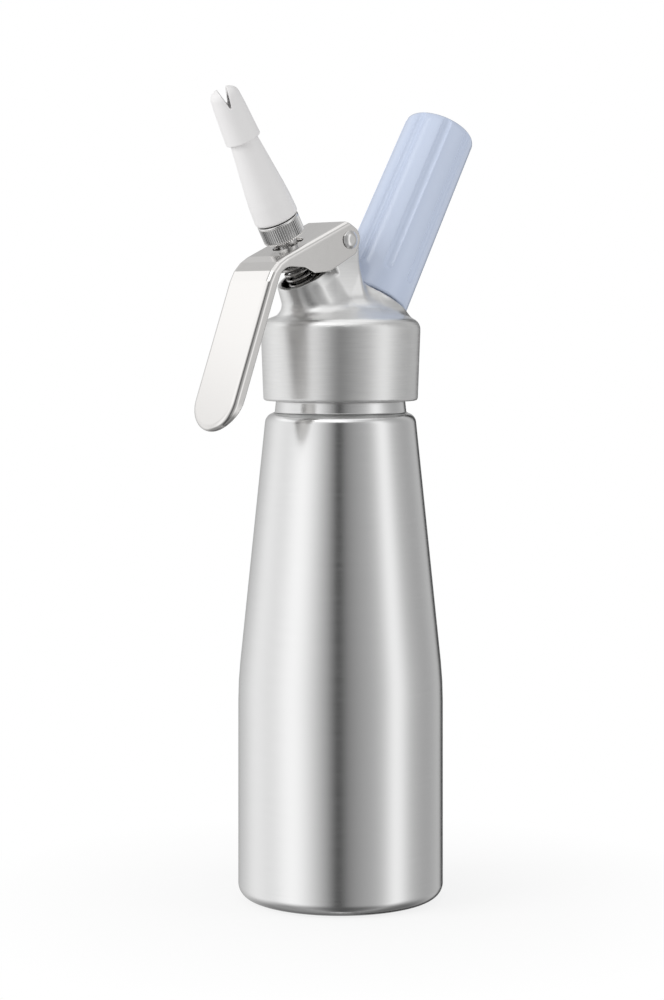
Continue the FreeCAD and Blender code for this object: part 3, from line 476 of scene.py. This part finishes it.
def casting(x, y, z):
    """Signed distance from the head's metal."""
    cap = cap_form(np.hypot(x, y), z)
    boss = valve_boss_form(*along_axis(x, y, z, -1))
    radius, along = along_axis(x, y, z, 1)
    flange = charger_boss_form(radius, along)
    lowness = np.clip((SPREAD_HIGH - z) / (SPREAD_HIGH - SPREAD_LOW), 0, 1)
    spread = SPREAD * np.maximum(x - SPREAD_X, 0) * lowness
    rib = common(rib_form(x, z), np.abs(y) - RIB_HALF - spread, 1.6)
    web = melted(rib, flange, 3.4)
    web = np.maximum(web, -holder_room_form(radius, along))
    body = joined(joined(web, boss, 2.5), cap, 5.0)
    body = np.minimum(body, spigot_form(radius, along))
    body = np.maximum(body, -cap_bore_form(np.hypot(x, y), z))
    body = np.maximum(body, -valve_bore_form(*along_axis(x, y, z, -1)))
    body = np.maximum(body, -charger_bore_form(radius, along))
    pin_hole = np.hypot(x - PIVOT[0], z - PIVOT[1]) - 2.55
    return np.maximum(body, -pin_hole)


head = skin("head_casting", casting, (-32, -32, 192.8), (32, 32, 262.2), 0.55)
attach(head, "head")
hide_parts("head")

# %% [markdown]
# ## The lever
# A strip of sheet steel pressed into a channel. Its web slopes over the valve, bends down into the handle, and turns
# over at both sides into flanges, which grow into two ears round the rivet. The outside and the inside are the same
# formula, one sheet's thickness apart, so the wall is even all round.

# %% Lever
SHEET = 1.2
LEVER_HALF = 12.0
WEB_SLOPE = math.radians(24.0)
HANDLE_LEAN = math.radians(20.6)
WEB_REAR = (-7.4, 263.1)
WEB_AT_AXIS = WEB_REAR[1] - WEB_REAR[0] * math.tan(WEB_SLOPE)
BEND_X = -45.3
BEND_Z = WEB_AT_AXIS + BEND_X * math.tan(WEB_SLOPE)
HANDLE = 54.5
BEYOND = 90
FLANGE_DEPTH = 4.6
NOTCH_TOP = 245.2
handle_end = (BEND_X - BEYOND * math.sin(HANDLE_LEAN), BEND_Z - BEYOND * math.cos(HANDLE_LEAN))
lever_skin_form = outline_distance([
    handle_end, (BEND_X, BEND_Z, 17.0), (40, WEB_AT_AXIS + 40 * math.tan(WEB_SLOPE)), (40, handle_end[1])][::-1],
    cell=0.2, margin=4)


def on_handle(along, depth):
    """A point that far down the handle from the bend's corner, and that deep under its face."""
    return (BEND_X - along * math.sin(HANDLE_LEAN) + depth * math.cos(HANDLE_LEAN),
            BEND_Z - along * math.cos(HANDLE_LEAN) - depth * math.sin(HANDLE_LEAN))


# The flange narrows by nine degrees round the handle's end
flange_x, flange_z = on_handle(HANDLE, FLANGE_DEPTH)
tail_x, tail_z = on_handle(BEYOND, FLANGE_DEPTH - (BEYOND - HANDLE) * math.tan(math.radians(9.0)))
notch_x = flange_x + (NOTCH_TOP - flange_z) * math.tan(HANDLE_LEAN)
lever_trim_form = outline_distance([
    (handle_end[0] - 30, handle_end[1]), (BEND_X - 40, BEND_Z + 30),
    (WEB_REAR[0] - 30 * math.sin(0.52), WEB_REAR[1] + 32), (*WEB_REAR, 0.4), (0.7, 258.5, 5.0),
    (-2.8, 250.6, 2.5), (-16.4, 243.6, 5.0), (-24.4, 242.8, 1.5), (-29.4, 244.9, 3.0), (notch_x, NOTCH_TOP, 6.5),
    (flange_x, flange_z, 30.0), (tail_x, tail_z)][::-1],
    cell=0.16, margin=4)


def lever_form(x, y, z):
    """Signed distance from the lever's sheet: the rounded outside less the rounded inside, trimmed to its outline."""
    upright = (x - BEND_X) * math.sin(HANDLE_LEAN) + (z - BEND_Z) * math.cos(HANDLE_LEAN) + HANDLE
    side = np.hypot(np.minimum(upright, 0), y) - LEVER_HALF
    face = lever_skin_form(x, z)
    outside = common(face, side, 2.0)
    inside = common(face + SHEET, side + SHEET, 0.8)
    sheet = common(outside, -inside, 0.25)
    sheet = common(sheet, lever_trim_form(x, z), 0.3)
    up = z - AXES_MEET
    across = x * math.cos(TILT) + up * math.sin(TILT)
    along = -x * math.sin(TILT) + up * math.cos(TILT)
    hole = np.hypot(np.maximum(np.abs(across) - 1.2, 0), y) - 5.2
    hole = np.maximum(hole, np.abs(along - 56) - 12)
    sheet = common(sheet, -hole, 0.3)
    return np.maximum(sheet, 2.56 - np.hypot(x - PIVOT[0], z - PIVOT[1]))


lever = skin("lever_channel", lever_form, (-70.0, -12.6, 181.6), (1.8, 12.6, 264.2), 0.36)
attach(lever, "lever")
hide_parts("lever")

# %% [markdown]
# ## The rivet
# A small turned piece. Each of its heads is a low dome closed down over an ear.

# %% Rivet
rivet_outline = rounded([
    (0, -13.45), (2.1, -13.45, 2.6), (3.6, -12.5, 0.3), (3.6, -12.15, 0.08), (2.5, -12.15, 0.08), (2.5, 12.15, 0.08),
    (3.6, 12.15, 0.08), (3.6, 12.5, 0.3), (2.1, 13.45, 2.6), (0, 13.45)], fineness=6)


def on_pivot(points, turn_only=False):
    """Lays a turned piece along Y at the pivot."""
    laid = points[:, [0, 2, 1]] * (1, 1, -1)
    return laid if turn_only else laid + (PIVOT[0], 0, PIVOT[1])


rivet = turn_outline("rivet", rivet_outline, steps=72, place=on_pivot)
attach(rivet, "head")
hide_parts("lever_rivet")

# %% [markdown]
# ## The knurled nut
# A straight knurl is a ring of shallow V grooves. The radius is a function of the angle: full at each ridge, and less
# by the groove's depth between two ridges. The lip at the top is left plain.

# %% Knurled nut
NUT_LOW, NUT_HIGH = 58.4, 66.2
NUT_R = 8.25
KNURLS = 56
GROOVE_DEPTH = 0.42


def knurled(angle, radius, height):
    """Takes the groove's depth off the radius, away from the chamfers."""
    wave = np.abs(((angle * KNURLS / (2 * np.pi) + 0.3) % 1) - 0.5) * 2
    groove = GROOVE_DEPTH * np.clip(1.15 - 1.3 * wave, 0, 1)
    room = np.clip((height - NUT_LOW) / 0.5, 0, 1) * np.clip((NUT_HIGH - 0.75 - height) / 0.25, 0, 1)
    return np.where(radius > 7.45, radius - groove * room * (height < NUT_HIGH - 0.7), radius)


nut_rows = [(NUT_R, z) for z in (59.15, 59.3, 62.0, 65.0, 65.2, 65.35, 65.45, 65.6)]
nut_outline = rounded([
    (4.15, NUT_LOW, 0.2), (7.55, NUT_LOW, 0.25), (NUT_R, 59.1, 0.3), *nut_rows, (NUT_R, NUT_HIGH, 0.45),
    (5.6, NUT_HIGH, 0.1), (5.6, NUT_HIGH + 6, 0.5), (2.0, NUT_HIGH + 6, 0.2), (2.0, 64.6, 0.1), (3.65, 64.6, 0.1),
    (3.65, 58.9, 0.1)], closed=True)
nut = turn_outline("knurled_nut", nut_outline, steps=KNURLS * 12, place=on_valve, closed=True, shape=knurled)
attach(nut, "valve")
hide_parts("adapter_nut")

# %% [markdown]
# ## The decorator tip
# Moulded plastic: a long hollow cone, then a sleeve with a rounded nose that is cut through in a V.

# %% Decorator tip
TIP_LOW, TIP_STEP = 66.55, 100.6
TIP_HIGH = TIP_STEP + 21.6
CUT_DEPTH = 7.4
tip_outside_form = outline_distance([
    (-20, TIP_LOW), (8.65, TIP_LOW, 1.2), (8.5, 74.0, 120.0), (5.4, TIP_STEP, 0.3), (6.95, TIP_STEP, 0.35),
    (6.15, TIP_HIGH - 8, 12.0), (5.55, TIP_HIGH - 1.4, 3.6), (1.9, TIP_HIGH, 0.8), (-20, TIP_HIGH)])
tip_inside_form = outline_distance([
    (-20, 60), (5.85, 60), (5.85, 72.7, 0.3), (4.85, 72.7, 0.3), (3.9, TIP_STEP - 4, 0.5), (3.9, TIP_HIGH - 6.5, 2.0),
    (1.0, TIP_HIGH - 1.5, 0.3), (1.0, TIP_HIGH + 5), (-20, TIP_HIGH + 5)])
SLOT_TURN = math.radians(-36.0)


def tip_form(a, b, t):
    """Signed distance from the tip in its own axes: the outside less the bore and less the V cut."""
    radius = np.hypot(a, b)
    body = common(tip_outside_form(radius, t), -tip_inside_form(radius, t), 0.25)
    across = a * math.cos(SLOT_TURN) + b * math.sin(SLOT_TURN)
    share = np.clip((t - TIP_HIGH + CUT_DEPTH) / CUT_DEPTH, 0, 2)
    cut = (np.abs(across) - (0.25 + share * 1.7)) * 0.97
    cut = np.maximum(cut, TIP_HIGH - CUT_DEPTH - t)
    return common(body, -cut, 0.25)


tip = skin("tip_moulding", tip_form, (-9, -9, 66.2), (9, 9, 122.8), 0.3, place=on_valve)
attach(tip, "tip")
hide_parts("decorator_tip")

# %% [markdown]
# ## The charger holder
# A deep moulded cap with eight long flutes. Each flute is what a round-nosed cutter leaves when it runs up the tapering
# side: at each angle the skin is the lower of the taper and the cutter.

# %% Charger holder
RIM = 31.2
HOLDER_LENGTH = 82.4
HOLDER_TOP = RIM + HOLDER_LENGTH
RIM_R, TOP_R = 15.3, 14.35
TAPER = (RIM_R - TOP_R) / HOLDER_LENGTH
CUTTER_R = 2.8
FLUTE_DEPTH = 0.9
FLUTE_TURN = math.radians(11.0)
FLUTE_START = RIM + 8.5 + CUTTER_R


def fluted(angle, radius, height):
    """The taper or the cutter's skin, whichever is nearer the axis; the cutter's end is a ball."""
    turn = (angle - FLUTE_TURN + np.pi / 8) % (np.pi / 4) - np.pi / 8
    centre = RIM_R - TAPER * (height - RIM) + CUTTER_R - FLUTE_DEPTH
    below = np.clip(FLUTE_START - height, 0, CUTTER_R)
    room = CUTTER_R ** 2 - (centre * np.sin(turn)) ** 2 - below ** 2
    cutter = centre * np.cos(turn) - np.sqrt(np.maximum(room, 0))
    reach = (room > 0) & (np.abs(turn) < np.pi / 8) & (radius > 13.0)
    return np.where(reach, np.minimum(radius, cutter), radius)


side_heights = np.concatenate([np.arange(RIM + 8, FLUTE_START + 1, 0.2), np.linspace(FLUTE_START + 2, 107, 20)])
side_rows = [(RIM_R - TAPER * (h - RIM), h, 0.05) for h in side_heights]
holder_outline = rounded([
    (0, 106.7), (6.5, 106.7, 1.0), (6.5, 102.7, 0.3), (9.6, 102.7, 0.5), (9.6, 44.8, 0.2),
    (11.1, 44.8, 0.2), (11.1, RIM, 0.3), (RIM_R, RIM, 0.9), *side_rows, (TOP_R, HOLDER_TOP - 2.4, 3.0),
    (0, HOLDER_TOP)], fineness=7)
holder = turn_outline("holder_moulding", holder_outline, steps=384, place=on_charger, shape=fluted)
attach(holder, "holder")
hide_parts("charger_holder")

# %% [markdown]
# ## The return spring
# A wire carried along a helix: at each step along the path a circle of points lies square to it, in the plane of the
# outward direction and of the direction square to both.

# %% Return spring
SPRING_LOW, SPRING_HIGH = 36.2, 50.15


def wind_wire(name, mean, wire, low, high, turns, place, fade=0.0, rings=360, around=16):
    """Centre line (mean cos a, mean sin a, low + rise a); each ring is wire times (cos b outward + sin b binormal).

    fade is the share of the length over which the wire thins out at both ends, as a thread runs out."""
    a = np.linspace(0, turns * 2 * np.pi, rings)
    rise = (high - low) / (turns * 2 * np.pi)
    line = np.stack([mean * np.cos(a), mean * np.sin(a), low + rise * a], 1)
    along = np.stack([-mean * np.sin(a), mean * np.cos(a), np.full_like(a, rise)], 1)
    along /= np.linalg.norm(along, axis=1, keepdims=True)
    outward = np.stack([np.cos(a), np.sin(a), 0 * a], 1)
    square = np.cross(along, outward)
    b = np.arange(around) * 2 * np.pi / around
    normal = outward[:, None] * np.cos(b)[None, :, None] + square[:, None] * np.sin(b)[None, :, None]
    share = np.linspace(0, 1, rings)
    thickness = wire * (1 if not fade else np.clip(np.minimum(share, 1 - share) / fade, 0.08, 1))
    points = line[:, None] + np.broadcast_to(thickness, rings)[:, None, None] * normal
    index = np.arange(rings * around).reshape(rings, around)
    quads = np.stack([index[:-1], index[1:], np.roll(index[1:], -1, 1), np.roll(index[:-1], -1, 1)], -1)
    caps = [index[0][None, ::-1], index[-1][None]]
    flat_points = points.reshape(-1, 3)
    return make_piece(name, place(flat_points), [quads.reshape(-1, 4)[:, ::-1], *[c[:, ::-1] for c in caps]])


spring = wind_wire("spring_wire", 5.3, 0.65, SPRING_LOW, SPRING_HIGH, 6, on_valve)
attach(spring, "head")
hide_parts("return_spring")
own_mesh(spring)

# %% [markdown]
# ## Thread ridges
# Three threads come into sight when their caps are screwed off: on the bottle's neck, on the spigot under the holder
# and on the nut's spigot. Each is the same kind of helix as the spring, sunk into its cylinder so that only a low round
# ridge shows, thinning out at both ends.

# %% Threads
neck_thread = wind_wire("neck_thread", 23.95, 0.65, 197.5, 208.0, 3, lambda points: points, fade=0.06)
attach(neck_thread, "bottle")
spigot_thread = wind_wire("spigot_thread", 10.6, 0.42, 33.5, 43.5, 5, on_charger, fade=0.06)
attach(spigot_thread, "head")
nut_thread = wind_wire("nut_thread", 5.45, 0.34, 67.4, 71.2, 2.5, on_valve, fade=0.08, rings=180)
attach(nut_thread, "valve")

# %% [markdown]
# ## Finishes
# A finish is the same recipe each time: one shader whose numbers say how the metal or plastic throws light back, and a
# fine noise that breaks the evenness a little, as real surfaces do. The noise reads the piece's own coordinates, so it
# stays on the piece when the lever moves. Stretching the noise turns specks into the fine lines of brushed metal.


# %% A recipe for finishes
def new_finish(name, colour, metallic, roughness, **shader_numbers):
    """A material with one shader, and the numbers that are the same all over set on it directly."""
    material = bpy.data.materials.new(name)
    material.use_nodes = True
    tree = material.node_tree
    shader = tree.nodes["Principled BSDF"]
    shader.inputs["Base Color"].default_value = (*colour, 1)
    shader.inputs["Metallic"].default_value = metallic
    shader.inputs["Roughness"].default_value = roughness
    for socket, value in shader_numbers.items():
        shader.inputs[socket.replace("_", " ")].default_value = value
    material.diffuse_color = (*colour, 1)
    return material


def add_grain(material, scale, colour_spread=0.0, roughness_spread=0.0, depth=0.0):
    """Noise on the piece's own coordinates, stretched by scale (cycles per metre along x, y and z).

    The colour and the roughness swing by the spreads about their set values, and depth is the height of the relief in
    metres."""
    tree = material.node_tree
    shader = tree.nodes["Principled BSDF"]
    place = tree.nodes.new("ShaderNodeTexCoord")
    mapping = tree.nodes.new("ShaderNodeMapping")
    mapping.inputs["Scale"].default_value = scale
    noise = tree.nodes.new("ShaderNodeTexNoise")
    noise.inputs["Scale"].default_value = 1.0
    noise.inputs["Detail"].default_value = 3.0
    noise.inputs["Roughness"].default_value = 0.6
    tree.links.new(place.outputs["Object"], mapping.inputs["Vector"])
    tree.links.new(mapping.outputs["Vector"], noise.inputs["Vector"])
    if colour_spread:
        colour = list(shader.inputs["Base Color"].default_value)[:3]
        swing = tree.nodes.new("ShaderNodeMix")
        swing.data_type = "RGBA"
        swing.inputs["A"].default_value = (*[c * (1 - colour_spread) for c in colour], 1)
        swing.inputs["B"].default_value = (*[min(1, c * (1 + colour_spread)) for c in colour], 1)
        tree.links.new(noise.outputs["Fac"], swing.inputs["Factor"])
        tree.links.new(swing.outputs["Result"], shader.inputs["Base Color"])
    if roughness_spread:
        level = shader.inputs["Roughness"].default_value
        swing = tree.nodes.new("ShaderNodeMapRange")
        swing.inputs["From Min"].default_value = 0.25
        swing.inputs["From Max"].default_value = 0.75
        swing.inputs["To Min"].default_value = level - roughness_spread
        swing.inputs["To Max"].default_value = level + roughness_spread
        tree.links.new(noise.outputs["Fac"], swing.inputs["Value"])
        tree.links.new(swing.outputs["Result"], shader.inputs["Roughness"])
    if depth:
        bump = tree.nodes.new("ShaderNodeBump")
        bump.inputs["Strength"].default_value = 1.0
        bump.inputs["Distance"].default_value = depth
        tree.links.new(noise.outputs["Fac"], bump.inputs["Height"])
        tree.links.new(bump.outputs["Normal"], shader.inputs["Normal"])
    return material


def darken(material, attribute, share):
    """Dims the colour where the piece's own attribute is 1, to 1 - share of what it was: painted shade, as narrow
    hollows look in shade.
    """
    tree = material.node_tree
    shader = tree.nodes["Principled BSDF"]
    mark = tree.nodes.new("ShaderNodeAttribute")
    mark.attribute_name = attribute
    dim = tree.nodes.new("ShaderNodeMix")
    dim.data_type = "RGBA"
    dim.blend_type = "MULTIPLY"
    dim.inputs["B"].default_value = (1 - share, 1 - share, 1 - share, 1)
    dim.inputs["A"].default_value = shader.inputs["Base Color"].default_value
    if shader.inputs["Base Color"].links:
        tree.links.new(shader.inputs["Base Color"].links[0].from_socket, dim.inputs["A"])
    tree.links.new(mark.outputs["Fac"], dim.inputs["Factor"])
    tree.links.new(dim.outputs["Result"], shader.inputs["Base Color"])


def mark_points(piece, attribute, measure):
    """Stores measure(x, y, z), a share from 0 to 1, on the piece's points as an attribute; millimetres in."""
    spots = np.empty(len(piece.data.vertices) * 3, np.float32)
    piece.data.vertices.foreach_get("co", spots)
    shares = np.clip(measure(*(spots.reshape(-1, 3) / MM).T), 0, 1)
    piece.data.attributes.new(attribute, "FLOAT", "POINT").data.foreach_set("value", shares.astype(np.float32))


def give(finish, *pieces):
    """Puts a finish on new pieces and on nodes of the frame."""
    for piece in pieces:
        if not piece.data.materials:
            piece.data.materials.append(finish)
        for slot in piece.material_slots:
            slot.material = finish


# %% [markdown]
# ## Brushed and cast aluminium
# The bottle is brushed round its axis: lines that are short in height and long round the side. The noise is squeezed
# along z and stretched along x and y. The head is satin from tumbling, with a finer, even grain; inside the spring's
# cup its colour is dimmed as painted shade.

# %% Aluminium
brushed = new_finish("brushed_aluminium", (0.84, 0.84, 0.84), 1.0, 0.21)
add_grain(brushed, (55, 55, 2300), colour_spread=0.035, roughness_spread=0.03, depth=0.000003)
give(brushed, bottle, neck_thread)
cast = new_finish("satin_aluminium", (0.87, 0.87, 0.865), 1.0, 0.35)
add_grain(cast, (90, 90, 1500), colour_spread=0.075, roughness_spread=0.04, depth=0.000003)
give(cast, head, spigot_thread)


def painted_cup_shade(x, y, z):
    """Painted shade: 1 inside the cup that holds the spring, 0 on the outside of the boss."""
    radius, along = along_axis(x, y, z, -1)
    return np.clip((CUP_R + 0.4 - radius) / 0.3, 0, 1) * np.clip((BOSS_RIM - 0.2 - along) / 1.5, 0, 1)


mark_points(head, "shaded", painted_cup_shade)
# Painted shade: the cup's inside is dimmed to a fifth of the casting's colour, for the shade under the lever
darken(cast, "shaded", 0.8)

# %% [markdown]
# ## Polished and plated steel
# The lever is polished, with only a breath of brushing along it. Small turned parts are brighter and smoother.

# %% Steels
polished = new_finish("polished_steel", (0.84, 0.825, 0.81), 1.0, 0.14)
add_grain(polished, (300, 2600, 300), colour_spread=0.02, roughness_spread=0.025)
give(polished, lever)
bright = new_finish("bright_steel", (0.83, 0.825, 0.82), 1.0, 0.12)
add_grain(bright, (900, 900, 900), roughness_spread=0.02)
give(bright, rivet, nodes["push_collar"])


def knurl_groove(x, y, z):
    """How deep a point of the nut lies below the knurl's ridges, as a share of the groove's depth, for the painted
    shade.
    """
    radius, along = along_axis(x, y, z, -1)
    knurled_part = (along > NUT_LOW + 0.3) & (along < NUT_HIGH - 0.75) & (radius > 7.5)
    return np.where(knurled_part, (NUT_R - radius) / GROOVE_DEPTH, 0)


mark_points(nut, "groove", knurl_groove)
plated = new_finish("nut_plating", (0.82, 0.815, 0.81), 1.0, 0.13)
add_grain(plated, (1200, 1200, 1200), roughness_spread=0.03)
give(plated, nut, nut_thread)
# Painted shade: the nut's colour is dimmed by up to a fifth, most at the bottom of the knurl's grooves
darken(plated, "groove", 0.2)
# Painted shade: the spring's wire gets a darker colour than the other steels, for the shade it sits in under the lever
wire = new_finish("spring_wire", (0.55, 0.54, 0.53), 1.0, 0.18)
add_grain(wire, (900, 900, 900), roughness_spread=0.03)
give(wire, spring)
turned_steel = new_finish("turned_steel", (0.74, 0.735, 0.73), 1.0, 0.25)
add_grain(turned_steel, (400, 400, 2600), roughness_spread=0.04)
give(turned_steel, nodes["valve_stem"])
charger_steel = new_finish("charger_steel", (0.68, 0.69, 0.70), 1.0, 0.3)
add_grain(charger_steel, (300, 300, 900), colour_spread=0.03, roughness_spread=0.04)
give(charger_steel, nodes["gas_charger"], nodes["charger_cap"])
brass = new_finish("turned_brass", (0.78, 0.58, 0.28), 1.0, 0.25)
add_grain(brass, (500, 500, 1500), colour_spread=0.03, roughness_spread=0.04)
give(brass, nodes["gland_nut"], nodes["piercing_pin"])

# %% [markdown]
# ## Rubber and plastics
# Plastic throws back most light from just under its skin, in its own colour, and a little from the skin itself, in the
# lamp's colour. The tip is satin, and the holder is glossy.

# %% Rubber and plastics
rubber = new_finish("seal_rubber", (0.03, 0.03, 0.03), 0.0, 0.6)
add_grain(rubber, (1500, 1500, 1500), roughness_spread=0.08, colour_spread=0.15)
give(rubber, *[nodes[n] for n in ("head_gasket", "adapter_gasket", "valve_seal", "stem_o_rings", "non_return_sleeve",
                                  "charger_seal")])
white = new_finish("white_plastic", (0.87, 0.86, 0.86), 0.0, 0.42)
add_grain(white, (700, 700, 700), colour_spread=0.006, roughness_spread=0.04, depth=0.000004)
give(white, tip)
blue = new_finish("blue_plastic", (0.62, 0.70, 0.87), 0.0, 0.16, IOR=1.6)
add_grain(blue, (600, 600, 600), colour_spread=0.01, roughness_spread=0.04, depth=0.000004)
give(blue, holder)
print("finishes:", len(bpy.data.materials))

# %% [markdown]
# ## The studio
# Metal is as bright as what it mirrors, so a metal object is lit by its surroundings: a tent of cloth with bright
# softboxes, and black flags that give the sides their dark edges. The tent shows only in reflections. Its brightness
# round the object is a plain level with a few named boxes and flags added, each a smooth hump between two heights.

# %% Tent
TENT_R = 3.0
TENT_EYE = 0.2
TENT_LEVEL = 0.587
# Far below the horizon the metal mirrors the table in the object's own shade: the tent dims from SHADE_FROM degrees
# down, over SHADE_FADE degrees, by SHADE_SHARE of its brightness
SHADE_FROM, SHADE_FADE, SHADE_SHARE = -28, 20, 0.65
TENT_CARDS = [
    # name, degrees round from the camera (left is minus), half width, brightness added, lowest and highest degrees up
    ("left wall", -108, 25, 0.33, -88, 37.5),
    ("upper left wall", -104, 45, 0.24, 23.7, 37.5),
    ("high softbox", -10, 32, 1.0, 38, 60),
    ("high strip", -47, 9, 3.0, 44, 57),
    ("left softbox", -55, 26, 0.51, -88, 38),
    ("camera's dark side", -2, 23, -0.36, -88, 38),
    ("camera", -3, 7, -0.19, -40, 38),
    ("right shade", 30, 20, -0.12, -88, 38),
    ("right softbox", 65, 14, 0.47, -88, 38),
    ("right back wall", 111, 27, -0.17, -70, 50),
    ("right flag", 159, 8, -0.9, -70, 45),
    ("left flag", -166, 12, -0.15, -70, 30),
]


def tent_brightness(turn, rise):
    """The level plus each card's hump, dimmed towards the table's shade, never below 0.02.

    A hump is its strength times exp(-(distance / half width) squared), faded out over two degrees at the card's lowest
    and highest edge."""
    total = np.full(np.broadcast(turn, rise).shape, TENT_LEVEL)
    for _, middle, width, strength, lowest, highest in TENT_CARDS:
        away = (turn - middle + 180) % 360 - 180
        fade = np.clip((rise - lowest) / 2 + 0.5, 0, 1) * np.clip((highest - rise) / 2 + 0.5, 0, 1)
        total = total + strength * np.exp(-(away / width) ** 2) * fade
    shade = np.clip((SHADE_FROM - rise) / SHADE_FADE, 0, 1)
    return np.maximum(total * (1 - SHADE_SHARE * shade), 0.02)


tent_turn = np.arange(-180, 180, 2.0)
tent_rise = np.arange(-86, 60, 1.0)
tent_angle = TOWARDS_CAMERA + np.radians(tent_turn)
tent_height = TENT_EYE + TENT_R * np.tan(np.radians(tent_rise))
tent_points = np.stack(np.broadcast_arrays(TENT_R * np.cos(tent_angle), TENT_R * np.sin(tent_angle),
                                           tent_height[:, None]), -1).reshape(-1, 3) / MM
tent_index = np.arange(len(tent_points)).reshape(len(tent_rise), len(tent_turn))
tent_next = np.roll(tent_index, -1, 1)
tent = make_piece("tent", tent_points, [
    np.stack([tent_index[:-1], tent_next[:-1], tent_next[1:], tent_index[1:]], -1).reshape(-1, 4)])
glow = tent.data.color_attributes.new("glow", "FLOAT_COLOR", "POINT")
levels = tent_brightness(tent_turn[None], tent_rise[:, None]).ravel()
glow.data.foreach_set("color", np.stack([levels, levels, levels, np.ones_like(levels)], 1).ravel())
tent_cloth = bpy.data.materials.new("tent_cloth")
tent_cloth.use_nodes = True
tent_tree = tent_cloth.node_tree
tent_tree.nodes.clear()
tent_glow = tent_tree.nodes.new("ShaderNodeAttribute")
tent_glow.attribute_name = "glow"
tent_light = tent_tree.nodes.new("ShaderNodeEmission")
tent_out = tent_tree.nodes.new("ShaderNodeOutputMaterial")
tent_tree.links.new(tent_glow.outputs["Color"], tent_light.inputs["Color"])
tent_tree.links.new(tent_light.outputs["Emission"], tent_out.inputs["Surface"])
tent.data.materials.append(tent_cloth)
tent.visible_camera = tent.visible_diffuse = tent.visible_transmission = tent.visible_shadow = False

# %% [markdown]
# ## Background, floor and lamps
# The background is plain white for the camera and for reflections, and gives a softer, even light to matt surfaces.
# The floor is a small white disc: part of its white is its own light, and the rest is lit, so it keeps a soft shadow
# round the base. The metal doesn't mirror the floor, and takes its brightness from the tent down to the foot. Two large
# lamps from the left and the right give the plastic its gentle shading.

# %% World, floor and lamps
ROOM_LEVEL = 0.62
world = bpy.data.worlds.new("white_room")
bpy.context.scene.world = world
world.use_nodes = True
sky = world.node_tree
sky.nodes.clear()
path = sky.nodes.new("ShaderNodeLightPath")
seen = sky.nodes.new("ShaderNodeMath")
seen.operation = "MAXIMUM"
seen_too = sky.nodes.new("ShaderNodeMath")
seen_too.operation = "MAXIMUM"
strength = sky.nodes.new("ShaderNodeMapRange")
strength.inputs["To Min"].default_value = ROOM_LEVEL
strength.inputs["To Max"].default_value = 1.0
room = sky.nodes.new("ShaderNodeBackground")
room.inputs["Color"].default_value = (1, 1, 1, 1)
room_out = sky.nodes.new("ShaderNodeOutputWorld")
sky.links.new(path.outputs["Is Camera Ray"], seen.inputs[0])
sky.links.new(path.outputs["Is Glossy Ray"], seen.inputs[1])
sky.links.new(seen.outputs[0], seen_too.inputs[0])
sky.links.new(path.outputs["Is Transmission Ray"], seen_too.inputs[1])
sky.links.new(seen_too.outputs[0], strength.inputs["Value"])
sky.links.new(strength.outputs["Result"], room.inputs["Strength"])
sky.links.new(room.outputs["Background"], room_out.inputs["Surface"])

FLOOR_R = 210.0
FLOOR_Z = -0.3
floor_rings = np.linspace(0, FLOOR_R, 12)[1:]
floor_steps = 96
floor_angle = np.arange(floor_steps) * 2 * np.pi / floor_steps
floor_points = np.concatenate([[[0, 0, FLOOR_Z]], np.stack([
    (floor_rings[:, None] * np.cos(floor_angle)).ravel(), (floor_rings[:, None] * np.sin(floor_angle)).ravel(),
    np.full(len(floor_rings) * floor_steps, FLOOR_Z)], 1)])
ring_index = 1 + np.arange(len(floor_rings) * floor_steps).reshape(-1, floor_steps)
floor = make_piece("floor", floor_points, [
    np.stack([np.zeros(floor_steps, int), ring_index[0], np.roll(ring_index[0], -1)], 1),
    np.stack([ring_index[:-1], ring_index[1:], np.roll(ring_index[1:], -1, 1), np.roll(ring_index[:-1], -1, 1)],
             -1).reshape(-1, 4)])
floor.visible_glossy = False
paper = bpy.data.materials.new("white_paper")
paper.use_nodes = True
paper_tree = paper.node_tree
paper_tree.nodes.clear()
paper_place = paper_tree.nodes.new("ShaderNodeTexCoord")
paper_reach = paper_tree.nodes.new("ShaderNodeVectorMath")
paper_reach.operation = "LENGTH"
paper_share = paper_tree.nodes.new("ShaderNodeMapRange")
paper_share.inputs["From Min"].default_value = 0.05
paper_share.inputs["From Max"].default_value = 0.16
paper_share.inputs["To Min"].default_value = 0.8
paper_share.inputs["To Max"].default_value = 1.0
paper_lit = paper_tree.nodes.new("ShaderNodeBsdfDiffuse")
paper_lit.inputs["Color"].default_value = (0.95, 0.95, 0.95, 1)
paper_own = paper_tree.nodes.new("ShaderNodeEmission")
paper_mix = paper_tree.nodes.new("ShaderNodeMixShader")
paper_out = paper_tree.nodes.new("ShaderNodeOutputMaterial")
paper_tree.links.new(paper_place.outputs["Object"], paper_reach.inputs[0])
paper_tree.links.new(paper_reach.outputs["Value"], paper_share.inputs["Value"])
paper_tree.links.new(paper_share.outputs["Result"], paper_mix.inputs["Fac"])
paper_tree.links.new(paper_lit.outputs["BSDF"], paper_mix.inputs[1])
paper_tree.links.new(paper_own.outputs["Emission"], paper_mix.inputs[2])
paper_tree.links.new(paper_mix.outputs["Shader"], paper_out.inputs["Surface"])
floor.data.materials.append(paper)


def hang_lamp(name, turn, reach, height, size, watts):
    """A square lamp at that many degrees round from the camera, facing the head; it doesn't show in the metal."""
    lamp = bpy.data.lights.new(name, "AREA")
    lamp.size = size
    lamp.energy = watts
    stand = bpy.data.objects.new(name, lamp)
    bpy.context.scene.collection.objects.link(stand)
    angle = TOWARDS_CAMERA + math.radians(turn)
    place = np.array([reach * math.cos(angle), reach * math.sin(angle), height])
    back = (place - (0, 0, TENT_EYE)) / np.linalg.norm(place - (0, 0, TENT_EYE))
    stand.location = place
    stand.rotation_euler = (math.acos(back[2]), 0, math.atan2(back[1], back[0]) + math.pi / 2)
    stand.visible_glossy = False


hang_lamp("left_lamp", -62, 1.3, 0.75, 0.9, 9.0)
hang_lamp("right_lamp", 75, 1.3, 0.5, 0.6, 2.5)
